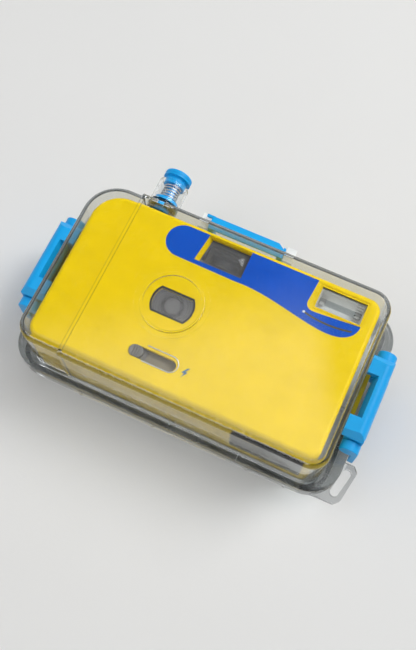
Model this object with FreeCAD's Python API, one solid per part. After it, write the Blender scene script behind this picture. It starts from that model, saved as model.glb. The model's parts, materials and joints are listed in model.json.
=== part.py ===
"""Underwater film camera: a 35 mm compact camera in a clear waterproof housing.

Millimetres. X runs to the right and Y to the top of the camera as its front is seen, and Z out of the
front. The housing lies on its back: the origin is on the rest plane, under the middle of the camera.
"""
import FreeCAD
import Part
import math
import os

V = FreeCAD.Vector
X_AXIS = V(1, 0, 0)
Y_AXIS = V(0, 1, 0)
Z_AXIS = V(0, 0, 1)
EPS = 0.001
OVER = 1.0
SOFT_EDGE = 0.35

# Clearances
GAP_SMALL = 0.1
GAP_SEAT = 0.2
GAP_MOVE = 0.3
GAP_SHAFT = 0.05

# Camera body
CAMERA_W = 118.0
CAMERA_H = 66.0
CAMERA_FACE_Z = 42.0
CAMERA_BACK_Z = 7.6
CAMERA_CORNERS = {"tl": 12.0, "tr": 5.0, "br": 4.0, "bl": 5.0}
CAMERA_EDGE_R = 1.8
CAMERA_BACK_EDGE_R = 2.4
CAMERA_WALL = 1.8
BACK_WALL = 1.5
COVER_PARTING_Z = 15.0
GRIP_X = -43.6
GRIP_DROP = 0.6

# Housing
SIDE_GAP = 1.7
TOP_GAP = 1.8
SHELL_WALL = 1.9
PANE_GAP = 1.2
PANE = 1.8
SHELL_CORNERS = {"tl": 14.0, "tr": 8.0, "br": 7.0, "bl": 8.0}
SHELL_EDGE_R = 2.6
STEP_X = -43.2
STEP_DROP = 0.8
RIM_WIDE_X = 6.8
RIM_WIDE_Y = 2.9
RIM_CORNER_R = 13.0
RIM_TOP_Z = 16.0
PARTING_Z = 12.0
RIM_BOTTOM_Z = 8.0
BEAD_W = 1.5
BEAD_H = 0.6
RIM_EDGE_R = 0.5
SKIRT_H = 3.6
REAR_WALL = 2.0
REAR_EDGE_R = 0.8
GROOVE_IN_X = 3.0
GROOVE_IN_Y = 1.8
GROOVE_W = 2.0
GROOVE_DEEP = 1.6
TICK_XS = (-37.0, -5.0, 35.6, 51.5)
TICK_W = 1.0
TICK_H = 0.35
PAD_XS = (-52.0, 52.0)
PAD_YS = (-27.0, 27.0)
PAD_SIZE = 5.0
RIB_W = 1.6
RIB_X_PITCH = 24.0
RIB_COUNT = 4

# Lens and its port
LENS_X = -13.2
LENS_Y = -0.8
PORT_FOOT_R = 14.4
PORT_FOOT_RISE = 0.25
PORT_FOOT_EDGE = 0.2
PORT_R = 12.4
PORT_RISE = 1.0
PORT_BORE_R = 11.2
WINDOW_R = 8.6
WINDOW_HALF_H = 5.4
WINDOW_T = 1.0
WINDOW_LAND = 0.7
BARREL_R = 6.9
BARREL_WALL = 1.3
BARREL_FACE_R = 9.0
BARREL_FACE_T = 0.7
BARREL_RINGS = (6.2, 7.2, 8.2)
BARREL_RING_W = 0.35
FRONT_LENS_T = 2.0
REAR_LENS_T = 1.6
LENS_BULGE = 0.9
APERTURE_T = 0.4
APERTURE_R = 1.7

# Film path
FILM_Z = 10.3
FILM_T = 0.15
FILM_W = 35.0
GATE_W = 36.0
GATE_H = 24.0
SPOOL_INSET = 11.2
SPOOL_COIL_R = 6.4
SPOOL_CORE_R = 3.6
SPOOL_FLANGE_R = 6.8
SPOOL_FLANGE_T = 0.8
SPOOL_SHAFT_R = 1.6
CASSETTE_R = 12.5
CASSETTE_LIP = 2.4
CASSETTE_LIP_OUT = 3.0
CASSETTE_L = 44.0
HUB_R = 3.2
HUB_L = 3.0
PERF_PITCH = 4.75
PERF_W = 2.0
PERF_H = 2.8
PERF_EDGE = 2.0
PERF_COUNT = 11
SPROCKET_OFFSET = 11.4
SPROCKET_R = 3.1
SPROCKET_TEETH = 8
SPROCKET_TOOTH = 0.4
SPROCKET_W = 3.0
SPROCKET_SHAFT_R = 1.2
THUMBWHEEL_LOW_Z = 7.45
THUMBWHEEL_Y = 22.6
THUMBWHEEL_T = 2.4
KNURL_COUNT = 36
KNURL_R = 0.3
DIAL_X = -24.0
DIAL_Z = 22.0
DIAL_R = 6.5
DIAL_T = 1.0
DIAL_WINDOW_R = 2.4
DIAL_POST_R = 1.2
DIAL_POST_L = 3.0
DIAL_MARKS = 12
DIAL_MARK_W = 0.4
DIAL_MARK_DEEP = 0.2

# Film advance knob on the back
KNOB_Y = 20.0
KNOB_R = 9.8
KNOB_LOW_Z = 0.3
KNOB_T = 3.0
KNOB_WEB = 1.6
KNOB_RIM = 2.0
KNOB_RIBS = 24
KNOB_SHAFT_R = 2.0
KNOB_BOSS_R = 5.0
KNOB_BOSS_DROP = 1.2
ROLLER_R = 5.0
ROLLER_T = 1.3
ROLLER_TRACK_R = 3.8
SEAL_WIRE_R = 0.65

# Shutter plunger
PLUNGER_X = -37.8
PLUNGER_Z = 29.6
SLEEVE_R = 6.4
SLEEVE_WALL = 1.15
SLEEVE_TOP_Y = 51.0
PLUNGER_FLOOR_Y = 41.6
SLEEVE_FLARE = 0.9
SLEEVE_FLARE_H = 1.6
STEM_R = 2.0
STEM_SEAL_WIRE_R = 0.8
WASHER_R = 4.9
WASHER_T = 1.4
SPRING_WIRE_R = 0.3
SPRING_R = 3.3
SPRING_TURNS = 5
SKIRT_BOTTOM_Y = 50.0
SKIRT_R = 4.5
CAP_Y = 53.4
CAP_R = 5.85
CAP_T = 2.6
CAP_EDGE_R = 0.7
CAP_GROOVE = 0.15
CAP_GROOVE_W = 0.3
CAP_GROOVE_AT = 0.8
CLIP_R = 2.9
CLIP_T = 0.6
PRESS = 2.0
BUTTON_R = 3.5
BUTTON_PROUD = 0.6
BUTTON_FOOT_R = 4.4
BUTTON_FOOT_T = 0.8
BUTTON_DISH_R = 5.6
BUTTON_DISH = 2.9

# Sports finder
FINDER_PIVOT_Y = 40.0
FINDER_PIVOT_Z = 34.0
FINDER_HALF_W = 15.9
FINDER_ARM = 2.2
FINDER_ARM_LOW_Y = 37.1
FINDER_FAR_Z = 18.6
FINDER_FAR_W = 2.2
FINDER_BAR_FRONT = 2.7
FINDER_BAR_BACK = 1.2
FINDER_BAR_LOW = 2.3
FINDER_BAR_HIGH = 2.2
FINDER_BEVEL_H = 1.3
FINDER_BEVEL_T = 0.7
FINDER_TIP_W = 2.6
FINDER_TIP_H = 1.8
FINDER_TAB = 2.4
FINDER_TAB_T = 0.9
FINDER_PIN_R = 0.9
EAR_W = 4.0
EAR_TOP_Y = 43.0
EAR_BACK = 2.4
EAR_FRONT = 0.8

# Latches, worked out for the right side and mirrored to the left
LATCH_PROUD = 2.7
HOOK_HALF_L = 17.0
HOOK_TOP_Z = 33.4
HOOK_PIVOT_Z = 25.5
HOOK_BARREL_R = 3.8
HOOK_LIP_T = 3.2
HOOK_LIP_GAP = 0.7
HOOK_BAR_T = 5.7
HOOK_ROUND = 3.2
HOOK_END_SLOPE = 2.6
WINDOW_HALF_L = 8.8
WINDOW_LEAN = 1.5
WINDOW_LEAN_RISE = 2.4
HOOK_PIN_R = 1.1
KNUCKLE_L = 3.7
LEVER_T = 2.3
LEVER_PIVOT_Z = 9.6
LEVER_KNUCKLE_R = 2.2
LEVER_KNUCKLE_HALF = 12.0
LEVER_PIN_R = 1.0
LEVER_RIDGE = 0.9
LEVER_RIDGE_HALF = 12.5
LEVER_RIDGE_ZS = (14.2, 16.4, 18.6)
LEVER_RIDGE_T = 0.9
EAR_L = 2.6
CATCH_OUT = 2.4
CATCH_T = 4.2
CATCH_HALF_L = 13.5

# Strap lug
STRAP_T = 3.0
STRAP_OUTLINE = ((60.0, -30.0), (66.0, -21.4), (73.6, -21.4), (75.5, -23.6), (73.4, -36.2), (71.2, -38.4),
                 (60.0, -38.6))
STRAP_SLOT_TOP = (71.9, -25.2)
STRAP_SLOT_LOW = (70.0, -34.0)
STRAP_SLOT_R = 1.7

# Front panel, viewfinder and flash
PANEL_T = 0.6
PANEL_TOP_Y = 31.4
PANEL_END_X = -20.8
PANEL_END_R = 6.75
PANEL_LOW = ((4.0, 17.6), (20.0, 16.5), (30.0, 14.6), (38.6, 13.1), (46.0, 12.9), (50.6, 14.3),
             (53.6, 17.4))
PANEL_RIGHT = (54.2, 20.3)
SURROUND_LOW = (36.3, 18.8)
SURROUND_BEND = (32.7, 18.6)
SURROUND_UP = (32.4, 21.6)
PANEL_TOP_RIGHT_X = 33.2
FINDER_WINDOW = ((-12.4, 31.0), (5.6, 31.0), (5.7, 19.6), (-13.9, 19.6))
FINDER_RECESS = 3.0
FINDER_TAPER = 1.4
FINDER_GLASS_T = 0.9
FINDER_GLASS_BULGE = 1.1
FINDER_GLASS_R = 30.0
EYEPIECE_W = 9.0
EYEPIECE_H = 6.4
TUNNEL_WALL = 0.9
ACCENT = ((32.6, 17.3), (41.6, 16.1), (51.9, 17.2))
ACCENT_W = 0.7
ACCENT_T = 0.25
FLASH_X0 = 35.5
FLASH_X1 = 53.6
FLASH_Y0 = 20.9
FLASH_Y1 = 29.7
FLASH_WINDOW_T = 1.0
BEZEL_OUT = 0.9
BEZEL_W = 0.3
BEZEL_DEEP = 0.25
FLASH_WINDOW_RIBS = 4
REFLECTOR_WALL = 0.6
REFLECTOR_DEEP = 5.0
TUBE_R = 1.2
SWITCH_Y = -22.8
SWITCH_X0 = -20.4
SWITCH_X1 = -1.4
SWITCH_HALF_H = 2.4
SWITCH_KNOB_L = 5.8
SWITCH_PROUD = 0.6
SWITCH_SLIT = 0.4
SWITCH_FOOT = 1.2
SWITCH_FOOT_T = 0.6
SWITCH_GUIDE_T = 0.8
BOLT_X = 2.3
BOLT_Y = -23.1
BOLT_H = 4.2
BOLT_T = 0.1

# Inside the camera
CHASSIS_T = 1.5
CHASSIS_RAIL = 5.0
CHAMBER_WALL = 0.8
TUNNEL_FRONT = 14.0
BOARD_Z = 31.6
BOARD_T = 1.4
BLADE_GAP = 1.2
BLADE_T = 0.4
BLADE_R = 3.6
BLADE_HOLE_R = 2.6
BLADE_PIVOT_DX = 8.0
BLADE_PIVOT_DY = -5.0
BLADE_PIN_R = 0.8
HOUSING_HALF_W = 12.0
HOUSING_HALF_H = 9.6
HOUSING_WALL = 1.2
PRESSURE_T = 0.9
DOOR_X = 55.5
DOOR_Y = (-24.6, 21.6)
DOOR_CORNER_R = 3.0
DOOR_HINGE_W = 1.4
FILM_WINDOW_X = (37.5, 49.5)
FILM_WINDOW_Y = (-7.0, 7.0)
FILM_WINDOW_STEP = 0.9
FILM_WINDOW_T = 0.8
BATTERY_R = 7.1
BATTERY_L = 49.0
BATTERY_TIP_R = 2.6
BATTERY_TIP_L = 1.2
BATTERY_X = -48.9
BATTERY_Z = 32.3
CONTACT_T = 0.5
CONTACT_HALF = 4.0
BATTERY_DOOR_X = (-57.0, -41.0)
BATTERY_DOOR_Z = (19.6, 38.0)
THUMB_SLOT_X = -48.2
THUMB_SLOT_Z = 17.6
THUMB_SLOT_W = 4.6
THUMB_SLOT_H = 1.6
BOTTOM_STEPS = ((26.0, 31.8), (37.5, 35.6), (46.7, 38.8))
BOTTOM_PLATE_END_X = 55.0
REWIND_R = 7.0
REWIND_T = 1.4
REWIND_FORK_L = 6.0
REWIND_BITE = 3.0
BOARD_X0 = 4.0
BOARD_X1 = 56.0
BOARD_Y0 = -29.0
BOARD_Y1 = 11.0
CIRCUIT_Z = 37.0
CIRCUIT_T = 1.2
BOARD_PARTS = ((22.5, 21.0, 6.5, 8.0, 1.4), (34.0, 15.0, 6.0, 4.0, 1.2), (42.0, 27.0, 4.0, 5.0, 1.2))
CAPACITOR_R = 6.1
CAPACITOR_L = 31.0
CAPACITOR_X = 17.0
CAPACITOR_Y = -9.0
SCREW_R = 1.2
SCREW_HEAD_R = 2.0
SCREW_HEAD_T = 1.0
SCREW_L = 9.0
SCREW_POST_R = 2.1
SCREW_POSITIONS = ((-34.0, -27.5), (-48.0, 28.8), (26.0, -27.5), (12.0, 28.0))

# Values worked out from the ones above
CAM_X = CAMERA_W / 2
CAM_Y = CAMERA_H / 2
IN_X = CAM_X + SIDE_GAP
IN_Y = CAM_Y + TOP_GAP
OUT_X = IN_X + SHELL_WALL
OUT_Y = IN_Y + SHELL_WALL
PANE_IN_Z = CAMERA_FACE_Z + PANE_GAP
PANE_OUT_Z = PANE_IN_Z + PANE
RIM_X = OUT_X + RIM_WIDE_X
RIM_Y = OUT_Y + RIM_WIDE_Y
REAR_IN_Z = SKIRT_H + REAR_WALL
COVER_IN_Z = CAMERA_FACE_Z - CAMERA_WALL
GRIP_IN_Z = COVER_IN_Z - GRIP_DROP
SPOOL_X = -CAM_X + CAMERA_WALL + SPOOL_INSET
SPROCKET_X = SPOOL_X + SPROCKET_OFFSET
CASSETTE_X = CAM_X - CAMERA_WALL - GAP_SMALL - CHAMBER_WALL - GAP_MOVE - CASSETTE_R
SPOOL_Z = FILM_Z + SPOOL_COIL_R
CASSETTE_Z = FILM_Z - 0.7 + CASSETTE_R
SPROCKET_Z = FILM_Z + FILM_T + GAP_SHAFT + SPROCKET_R + SPROCKET_TOOTH
THUMBWHEEL_R = SPOOL_Z - THUMBWHEEL_LOW_Z
SLEEVE_IN_R = SLEEVE_R - SLEEVE_WALL
WASHER_TOP_Y = PLUNGER_FLOOR_Y + WASHER_T
STEM_END_Y = CAM_Y + BUTTON_PROUD + GAP_SEAT
LATCH_OUT_X = RIM_X + LATCH_PROUD
HOOK_PIVOT_X = LATCH_OUT_X - HOOK_BARREL_R
HOOK_LIP_X = OUT_X + HOOK_LIP_GAP
HOOK_BAR_IN_X = LATCH_OUT_X - HOOK_BAR_T
LEVER_IN_X = LATCH_OUT_X - LEVER_T
LEVER_PIVOT_X = LATCH_OUT_X - LEVER_KNUCKLE_R
HOOK_LIP_Z = HOOK_TOP_Z - HOOK_LIP_T
LEVER_TOP_Z = HOOK_PIVOT_Z - HOOK_BARREL_R - GAP_MOVE
KNUCKLE_START = HOOK_HALF_L + GAP_MOVE
BARREL_BACK_Z = BOARD_Z + BOARD_T + BLADE_GAP + HOUSING_WALL
BARREL_TOP_Z = COVER_IN_Z - GAP_SMALL


def box(x0, x1, y0, y1, z0, z1):
    """A block between two corners."""
    return Part.makeBox(x1 - x0, y1 - y0, z1 - z0, V(x0, y0, z0))


def cylinder(radius, start, direction, length):
    """A round bar from a start point along a direction."""
    return Part.makeCylinder(radius, length, start, direction)


def ring(outer, inner, start, direction, length):
    """A round tube from a start point along a direction."""
    return cylinder(outer, start, direction, length).cut(cylinder(inner, start, direction, length))


def fuse(shapes):
    """One solid from shapes that touch or overlap."""
    shapes = list(shapes)
    joined = shapes[0]
    if len(shapes) > 1:
        joined = joined.multiFuse(shapes[1:])
    return joined.removeSplitter()


def cut(shape, tools):
    """The shape with each tool taken away."""
    for tool in tools:
        shape = shape.cut(tool)
    return shape


def group(solids):
    """Separate solids kept in one node."""
    return Part.makeCompound(list(solids))


def polygon(points, z):
    """A closed wire through points in a level plane."""
    corners = [V(x, y, z) for x, y in points]
    return Part.makePolygon(corners + corners[:1])


def prism(wire, height):
    """A wire pulled straight up into a solid."""
    return Part.Face(wire).extrude(V(0, 0, height))


def rounded_wire(half_x, half_y, corners, z, centre=(0.0, 0.0)):
    """A rectangle with its own radius at each corner."""
    cx, cy = centre
    left, right, low, high = cx - half_x, cx + half_x, cy - half_y, cy + half_y
    spots = (("br", right, low, 1, -1), ("tr", right, high, 1, 1), ("tl", left, high, -1, 1),
             ("bl", left, low, -1, -1))
    edges = []
    ends = []
    for name, x, y, sx, sy in spots:
        r = corners[name]
        middle = V(x - sx * r, y - sy * r, z)
        side = V(x, y - sy * r, z)
        level = V(x - sx * r, y, z)
        bend = middle + V(sx * r * math.sqrt(0.5), sy * r * math.sqrt(0.5), 0)
        first, last = (level, side) if name in ("br", "tl") else (side, level)
        edges.append(Part.Arc(first, bend, last).toShape())
        ends.append((first, last))
    joined = []
    for i, arc in enumerate(edges):
        joined.append(arc)
        start = ends[i][1]
        finish = ends[(i + 1) % len(ends)][0]
        if start.distanceToPoint(finish) > EPS:
            joined.append(Part.LineSegment(start, finish).toShape())
    return Part.Wire(joined)


def same_corners(radius):
    """One radius for all four corners."""
    return {"tl": radius, "tr": radius, "br": radius, "bl": radius}


def less_corners(corners, inset):
    """Corner radii of an outline moved inwards."""
    return {name: max(r - inset, 0.5) for name, r in corners.items()}


def rounded_block(half_x, half_y, corners, z0, z1, centre=(0.0, 0.0)):
    """A block with rounded upright corners."""
    return prism(rounded_wire(half_x, half_y, corners, z0, centre), z1 - z0)


def in_plane(edge, axis, level):
    """Whether an edge lies in the plane where x, y or z has one value."""
    bounds = edge.BoundBox
    low = getattr(bounds, axis + "Min")
    high = getattr(bounds, axis + "Max")
    return abs(low - level) < EPS and abs(high - level) < EPS


def softened(shape, radius, test):
    """The shape with the edges that pass a test rounded."""
    return shape.makeFillet(radius, [e for e in shape.Edges if test(e)])


def rounded_at(shape, z, radius):
    """The shape with every edge in a level plane rounded."""
    return softened(shape, radius, lambda e: in_plane(e, "Z", z))


def pill(x0, x1, y, half_h, z0, z1):
    """A block with fully round ends, long in X."""
    ends = [cylinder(half_h, V(x, y, z0), Z_AXIS, z1 - z0) for x in (x0 + half_h, x1 - half_h)]
    return fuse([box(x0 + half_h, x1 - half_h, y - half_h, y + half_h, z0, z1)] + ends)


def turned(points, base, axis):
    """A solid turned about an axis from radius and height pairs."""
    side = X_AXIS if abs(axis.dot(X_AXIS)) < 0.5 else Y_AXIS
    corners = [base + side * r + axis * h for r, h in points]
    return Part.Face(Part.makePolygon(corners + corners[:1])).revolve(base, axis, 360)


def mirrored(shape):
    """The same piece on the other short side."""
    return shape.mirror(V(0, 0, 0), X_AXIS)


def lens_window_prism(inset, z0, z1):
    """A round window with flat top and bottom."""
    disc = cylinder(WINDOW_R - inset, V(LENS_X, LENS_Y, z0), Z_AXIS, z1 - z0)
    band = box(LENS_X - WINDOW_R, LENS_X + WINDOW_R, LENS_Y - WINDOW_HALF_H + inset,
               LENS_Y + WINDOW_HALF_H - inset, z0, z1)
    return disc.common(band)


# Housing


def shell_outline(extra_x, extra_y, corners, z0, z1):
    """The housing's outline, larger or smaller by the given amounts."""
    return rounded_block(OUT_X + extra_x, OUT_Y + extra_y, corners, z0, z1)


def front_shell_body():
    """The deep front shell with its raised pane, before openings and fittings."""
    right = rounded_at(shell_outline(0, 0, SHELL_CORNERS, PARTING_Z, PANE_OUT_Z), PANE_OUT_Z, SHELL_EDGE_R)
    right = right.common(box(STEP_X, RIM_X, -RIM_Y, RIM_Y, PARTING_Z, PANE_OUT_Z))
    low_z = PANE_OUT_Z - STEP_DROP
    left = rounded_at(shell_outline(0, -STEP_DROP, SHELL_CORNERS, PARTING_Z, low_z), low_z, SHELL_EDGE_R)
    return fuse([right, left])


def front_shell_cavity():
    """The room inside the front shell."""
    corners = less_corners(SHELL_CORNERS, SHELL_WALL)
    right = rounded_block(IN_X, IN_Y, corners, PARTING_Z - OVER, PANE_IN_Z)
    right = right.common(box(STEP_X + SHELL_WALL / 2, RIM_X, -RIM_Y, RIM_Y, 0, PANE_OUT_Z))
    left = rounded_block(IN_X, IN_Y - STEP_DROP, corners, PARTING_Z - OVER, PANE_IN_Z - STEP_DROP)
    return right, left


def front_rim():
    """The front half of the flange with a raised bead round its outer edge."""
    corners = same_corners(RIM_CORNER_R)
    plate = rounded_block(RIM_X, RIM_Y, corners, PARTING_Z, RIM_TOP_Z + BEAD_H)
    plate = rounded_at(plate, RIM_TOP_Z + BEAD_H, RIM_EDGE_R)
    inner = rounded_block(RIM_X - BEAD_W, RIM_Y - BEAD_W, less_corners(corners, BEAD_W), RIM_TOP_Z,
                          RIM_TOP_Z + BEAD_H + OVER)
    return plate.cut(inner)


def plunger_sleeve():
    """The clear guide boss and sleeve round the shutter plunger."""
    base = V(PLUNGER_X, IN_Y - OVER, PLUNGER_Z)
    boss = cylinder(SLEEVE_R, base, Y_AXIS, SLEEVE_TOP_Y - base.y)
    boss = softened(boss, SOFT_EDGE, lambda e: in_plane(e, "Y", SLEEVE_TOP_Y))
    flare = turned([(0, 0), (SLEEVE_R + SLEEVE_FLARE, 0), (SLEEVE_R + SLEEVE_FLARE, OUT_Y - base.y),
                    (SLEEVE_R, OUT_Y - base.y + SLEEVE_FLARE_H), (0, OUT_Y - base.y + SLEEVE_FLARE_H)],
                   base, Y_AXIS)
    return fuse([boss, flare])


def plunger_holes():
    """The sleeve's bore, the stem's bore and the seal's seat."""
    floor = V(PLUNGER_X, PLUNGER_FLOOR_Y, PLUNGER_Z)
    seal_r = STEM_R + GAP_SHAFT + 2 * STEM_SEAL_WIRE_R
    return [cylinder(SLEEVE_IN_R, floor, Y_AXIS, SLEEVE_TOP_Y - PLUNGER_FLOOR_Y + OVER),
            cylinder(seal_r, floor - Y_AXIS * 2 * STEM_SEAL_WIRE_R, Y_AXIS, 2 * STEM_SEAL_WIRE_R + EPS),
            cylinder(STEM_R + GAP_SHAFT, V(PLUNGER_X, IN_Y - OVER, PLUNGER_Z), Y_AXIS,
                     PLUNGER_FLOOR_Y - IN_Y + OVER)]


def finder_ears():
    """The two clear ears that carry the sports finder."""
    ears = []
    for side in (-1, 1):
        near = side * (FINDER_HALF_W + GAP_MOVE)
        far = near + side * EAR_W
        ear = box(min(near, far), max(near, far), IN_Y + SHELL_WALL / 2, EAR_TOP_Y,
                  FINDER_PIVOT_Z - EAR_BACK,
                  FINDER_PIVOT_Z + EAR_FRONT)
        ears.append(softened(ear, SOFT_EDGE, lambda e: in_plane(e, "Y", EAR_TOP_Y)))
    return ears


def finder_pin_bores():
    """The blind bores in the ears that hold the finder's pins."""
    start = FINDER_HALF_W + GAP_MOVE
    return [cylinder(FINDER_PIN_R, V(side * start, FINDER_PIVOT_Y, FINDER_PIVOT_Z), X_AXIS * side,
                     EAR_W * 0.8)
            for side in (-1, 1)]


def latch_catch():
    """The right catch strip, bonded on the shell's side, that the latch hook holds down."""
    near = OUT_X + GAP_SMALL / 2
    top = HOOK_LIP_Z - GAP_SEAT
    points = [V(near, 0, top), V(OUT_X + CATCH_OUT, 0, top), V(OUT_X + CATCH_OUT, 0, top - CATCH_T / 2),
              V(near + CATCH_OUT * 0.3, 0, top - CATCH_T), V(near, 0, top - CATCH_T)]
    face = Part.Face(Part.makePolygon(points + points[:1]))
    strip = face.extrude(V(0, 2 * CATCH_HALF_L, 0))
    strip.translate(V(0, -CATCH_HALF_L, 0))
    return softened(strip, SOFT_EDGE / 2, lambda e: abs(abs(e.BoundBox.Center.y) - CATCH_HALF_L) < EPS)


def lens_port():
    """The round port raised over the lens, on a wider and much lower step."""
    base = V(LENS_X, LENS_Y, PANE_OUT_Z)
    foot = cylinder(PORT_FOOT_R, base, Z_AXIS, PORT_FOOT_RISE)
    port = cylinder(PORT_R, base, Z_AXIS, PORT_RISE)
    return fuse([rounded_at(foot, PANE_OUT_Z + PORT_FOOT_RISE, PORT_FOOT_EDGE),
                 rounded_at(port, PANE_OUT_Z + PORT_RISE, SOFT_EDGE)])


def front_shell():
    body = fuse([front_shell_body(), front_rim(), plunger_sleeve(), lens_port()] + finder_ears())
    port_bore = cylinder(PORT_BORE_R, V(LENS_X, LENS_Y, PANE_IN_Z - OVER), Z_AXIS, OVER + PORT_RISE)
    return cut(body, list(front_shell_cavity()) + plunger_holes() + finder_pin_bores() + [port_bore])


def groove_ring(width, z0, z1):
    """The gasket's path in the flange, as a ring of the given width."""
    mid_x = IN_X + GROOVE_IN_X + GROOVE_W / 2
    mid_y = IN_Y + GROOVE_IN_Y + GROOVE_W / 2
    inset = RIM_X - mid_x
    corners = less_corners(same_corners(RIM_CORNER_R), inset)
    outer = rounded_block(mid_x + width / 2, mid_y + width / 2, less_corners(corners, -width / 2), z0, z1)
    inner = rounded_block(mid_x - width / 2, mid_y - width / 2, less_corners(corners, width / 2), z0, z1)
    return outer.cut(inner)


def latch_ears():
    """The clear ears at one end that carry a latch lever."""
    ears = []
    groove_edge = IN_X + GROOVE_IN_X + GROOVE_W + GAP_MOVE
    start = LEVER_KNUCKLE_HALF + GAP_MOVE
    for low in (start, -start - EAR_L):
        eye = cylinder(LEVER_KNUCKLE_R, V(LEVER_PIVOT_X, low, LEVER_PIVOT_Z), Y_AXIS, EAR_L)
        root = box(groove_edge, LEVER_PIVOT_X, low, low + EAR_L, RIM_BOTTOM_Z,
                   LEVER_PIVOT_Z + LEVER_KNUCKLE_R)
        ears.append(eye.fuse(root))
    return ears


def lever_room():
    """The notch in the flange that a latch lever's knuckle turns in."""
    half = LEVER_KNUCKLE_HALF + GAP_MOVE
    reach = LEVER_KNUCKLE_R + GAP_MOVE
    return box(LEVER_PIVOT_X - reach, RIM_X + OVER, -half, half, RIM_BOTTOM_Z - OVER, PARTING_Z + EPS)


def latch_pin_bore():
    """The bore for a lever's pin through both ears."""
    half = LEVER_KNUCKLE_HALF + GAP_MOVE + EAR_L + OVER
    return cylinder(LEVER_PIN_R, V(LEVER_PIVOT_X, -half, LEVER_PIVOT_Z), Y_AXIS, 2 * half)


def strap_lug():
    """The clear lug for a wrist strap, with its slot."""
    z0 = PARTING_Z - STRAP_T
    plate = prism(polygon(STRAP_OUTLINE, z0), STRAP_T)
    upright = [e for e in plate.Edges
               if abs(e.BoundBox.ZLength - STRAP_T) < EPS and e.BoundBox.XMin > OUT_X]
    plate = plate.makeFillet(STRAP_SLOT_R * 0.7, upright)
    plate = softened(plate, SOFT_EDGE, lambda e: e.BoundBox.XMax > RIM_X and e.BoundBox.ZLength < EPS)
    top = V(STRAP_SLOT_TOP[0], STRAP_SLOT_TOP[1], z0 - OVER)
    low = V(STRAP_SLOT_LOW[0], STRAP_SLOT_LOW[1], z0 - OVER)
    along = (low - top).normalize()
    across = V(-along.y, along.x, 0) * STRAP_SLOT_R
    corners = [top + across, low + across, low - across, top - across]
    middle = Part.Face(Part.makePolygon(corners + corners[:1])).extrude(V(0, 0, STRAP_T + 2 * OVER))
    ends = [cylinder(STRAP_SLOT_R, p, Z_AXIS, STRAP_T + 2 * OVER) for p in (top, low)]
    return plate, fuse([middle] + ends)


def rear_ribs():
    """Stiffening ribs across the outside of the back, level with its skirt."""
    knob_edge = KNOB_R + 2 * OVER
    ribs = [box(-OUT_X + SHELL_WALL / 2, OUT_X - SHELL_WALL / 2, -RIB_W / 2, RIB_W / 2, 0,
                SKIRT_H + OVER / 2)]
    for i in range(RIB_COUNT):
        x = (i - (RIB_COUNT - 2) / 2) * RIB_X_PITCH
        if abs(x - SPOOL_X) < knob_edge:
            continue
        ribs.append(box(x - RIB_W / 2, x + RIB_W / 2, -OUT_Y + SHELL_WALL / 2, OUT_Y - SHELL_WALL / 2, 0,
                        SKIRT_H + OVER / 2))
    return ribs


def rear_pads():
    """Square pads that the camera's back stands on."""
    half = PAD_SIZE / 2
    return [box(x - half, x + half, y - half, y + half, REAR_IN_Z - OVER, CAMERA_BACK_Z)
            for x in PAD_XS for y in PAD_YS if abs(x - SPOOL_X) > ROLLER_R + PAD_SIZE or y < 0]


def rim_ticks():
    """Small upright ribs on the lower face of the flange."""
    return [box(x - TICK_W / 2, x + TICK_W / 2, -RIM_Y - TICK_H, -RIM_Y + OVER, RIM_BOTTOM_Z, PARTING_Z)
            for x in TICK_XS]


def advance_boss():
    """The thick place in the back round the advance knob's shaft."""
    return cylinder(KNOB_BOSS_R, V(SPOOL_X, KNOB_Y, SKIRT_H - KNOB_BOSS_DROP), Z_AXIS,
                    KNOB_BOSS_DROP + REAR_WALL / 2)


def advance_holes():
    """The shaft's bore and the seat of its seal."""
    low = V(SPOOL_X, KNOB_Y, SKIRT_H - KNOB_BOSS_DROP)
    seal_r = KNOB_SHAFT_R + GAP_SHAFT + 2 * SEAL_WIRE_R
    return [cylinder(KNOB_SHAFT_R + GAP_SHAFT, low - Z_AXIS * OVER, Z_AXIS, REAR_IN_Z),
            cylinder(seal_r, low - Z_AXIS * OVER, Z_AXIS, OVER + 2 * SEAL_WIRE_R)]


def rear_shell():
    tray = rounded_at(shell_outline(0, 0, SHELL_CORNERS, 0, PARTING_Z), 0, REAR_EDGE_R)
    rim = rounded_block(RIM_X, RIM_Y, same_corners(RIM_CORNER_R), RIM_BOTTOM_Z, PARTING_Z)
    rim = rounded_at(rim, RIM_BOTTOM_Z, RIM_EDGE_R)
    room = rounded_block(IN_X, IN_Y, less_corners(SHELL_CORNERS, SHELL_WALL), REAR_IN_Z, PARTING_Z + OVER)
    under = rounded_block(IN_X, IN_Y, less_corners(SHELL_CORNERS, SHELL_WALL), -OVER, SKIRT_H)
    lug, slot = strap_lug()
    groove = groove_ring(GROOVE_W, PARTING_Z - GROOVE_DEEP, PARTING_Z + OVER)
    shell = cut(fuse([tray, rim, lug] + rim_ticks()), [room, under, groove, lever_room(),
                                                       mirrored(lever_room()), slot])
    fittings = latch_ears() + [mirrored(e)
                               for e in latch_ears()] + rear_ribs() + rear_pads() + [advance_boss()]
    shell = fuse([shell] + fittings)
    return cut(shell, [latch_pin_bore(), mirrored(latch_pin_bore())] + advance_holes())


def shell_gasket():
    return groove_ring(GROOVE_W - 2 * GAP_SMALL, PARTING_Z - GROOVE_DEEP, PARTING_Z)


# Latches


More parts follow.
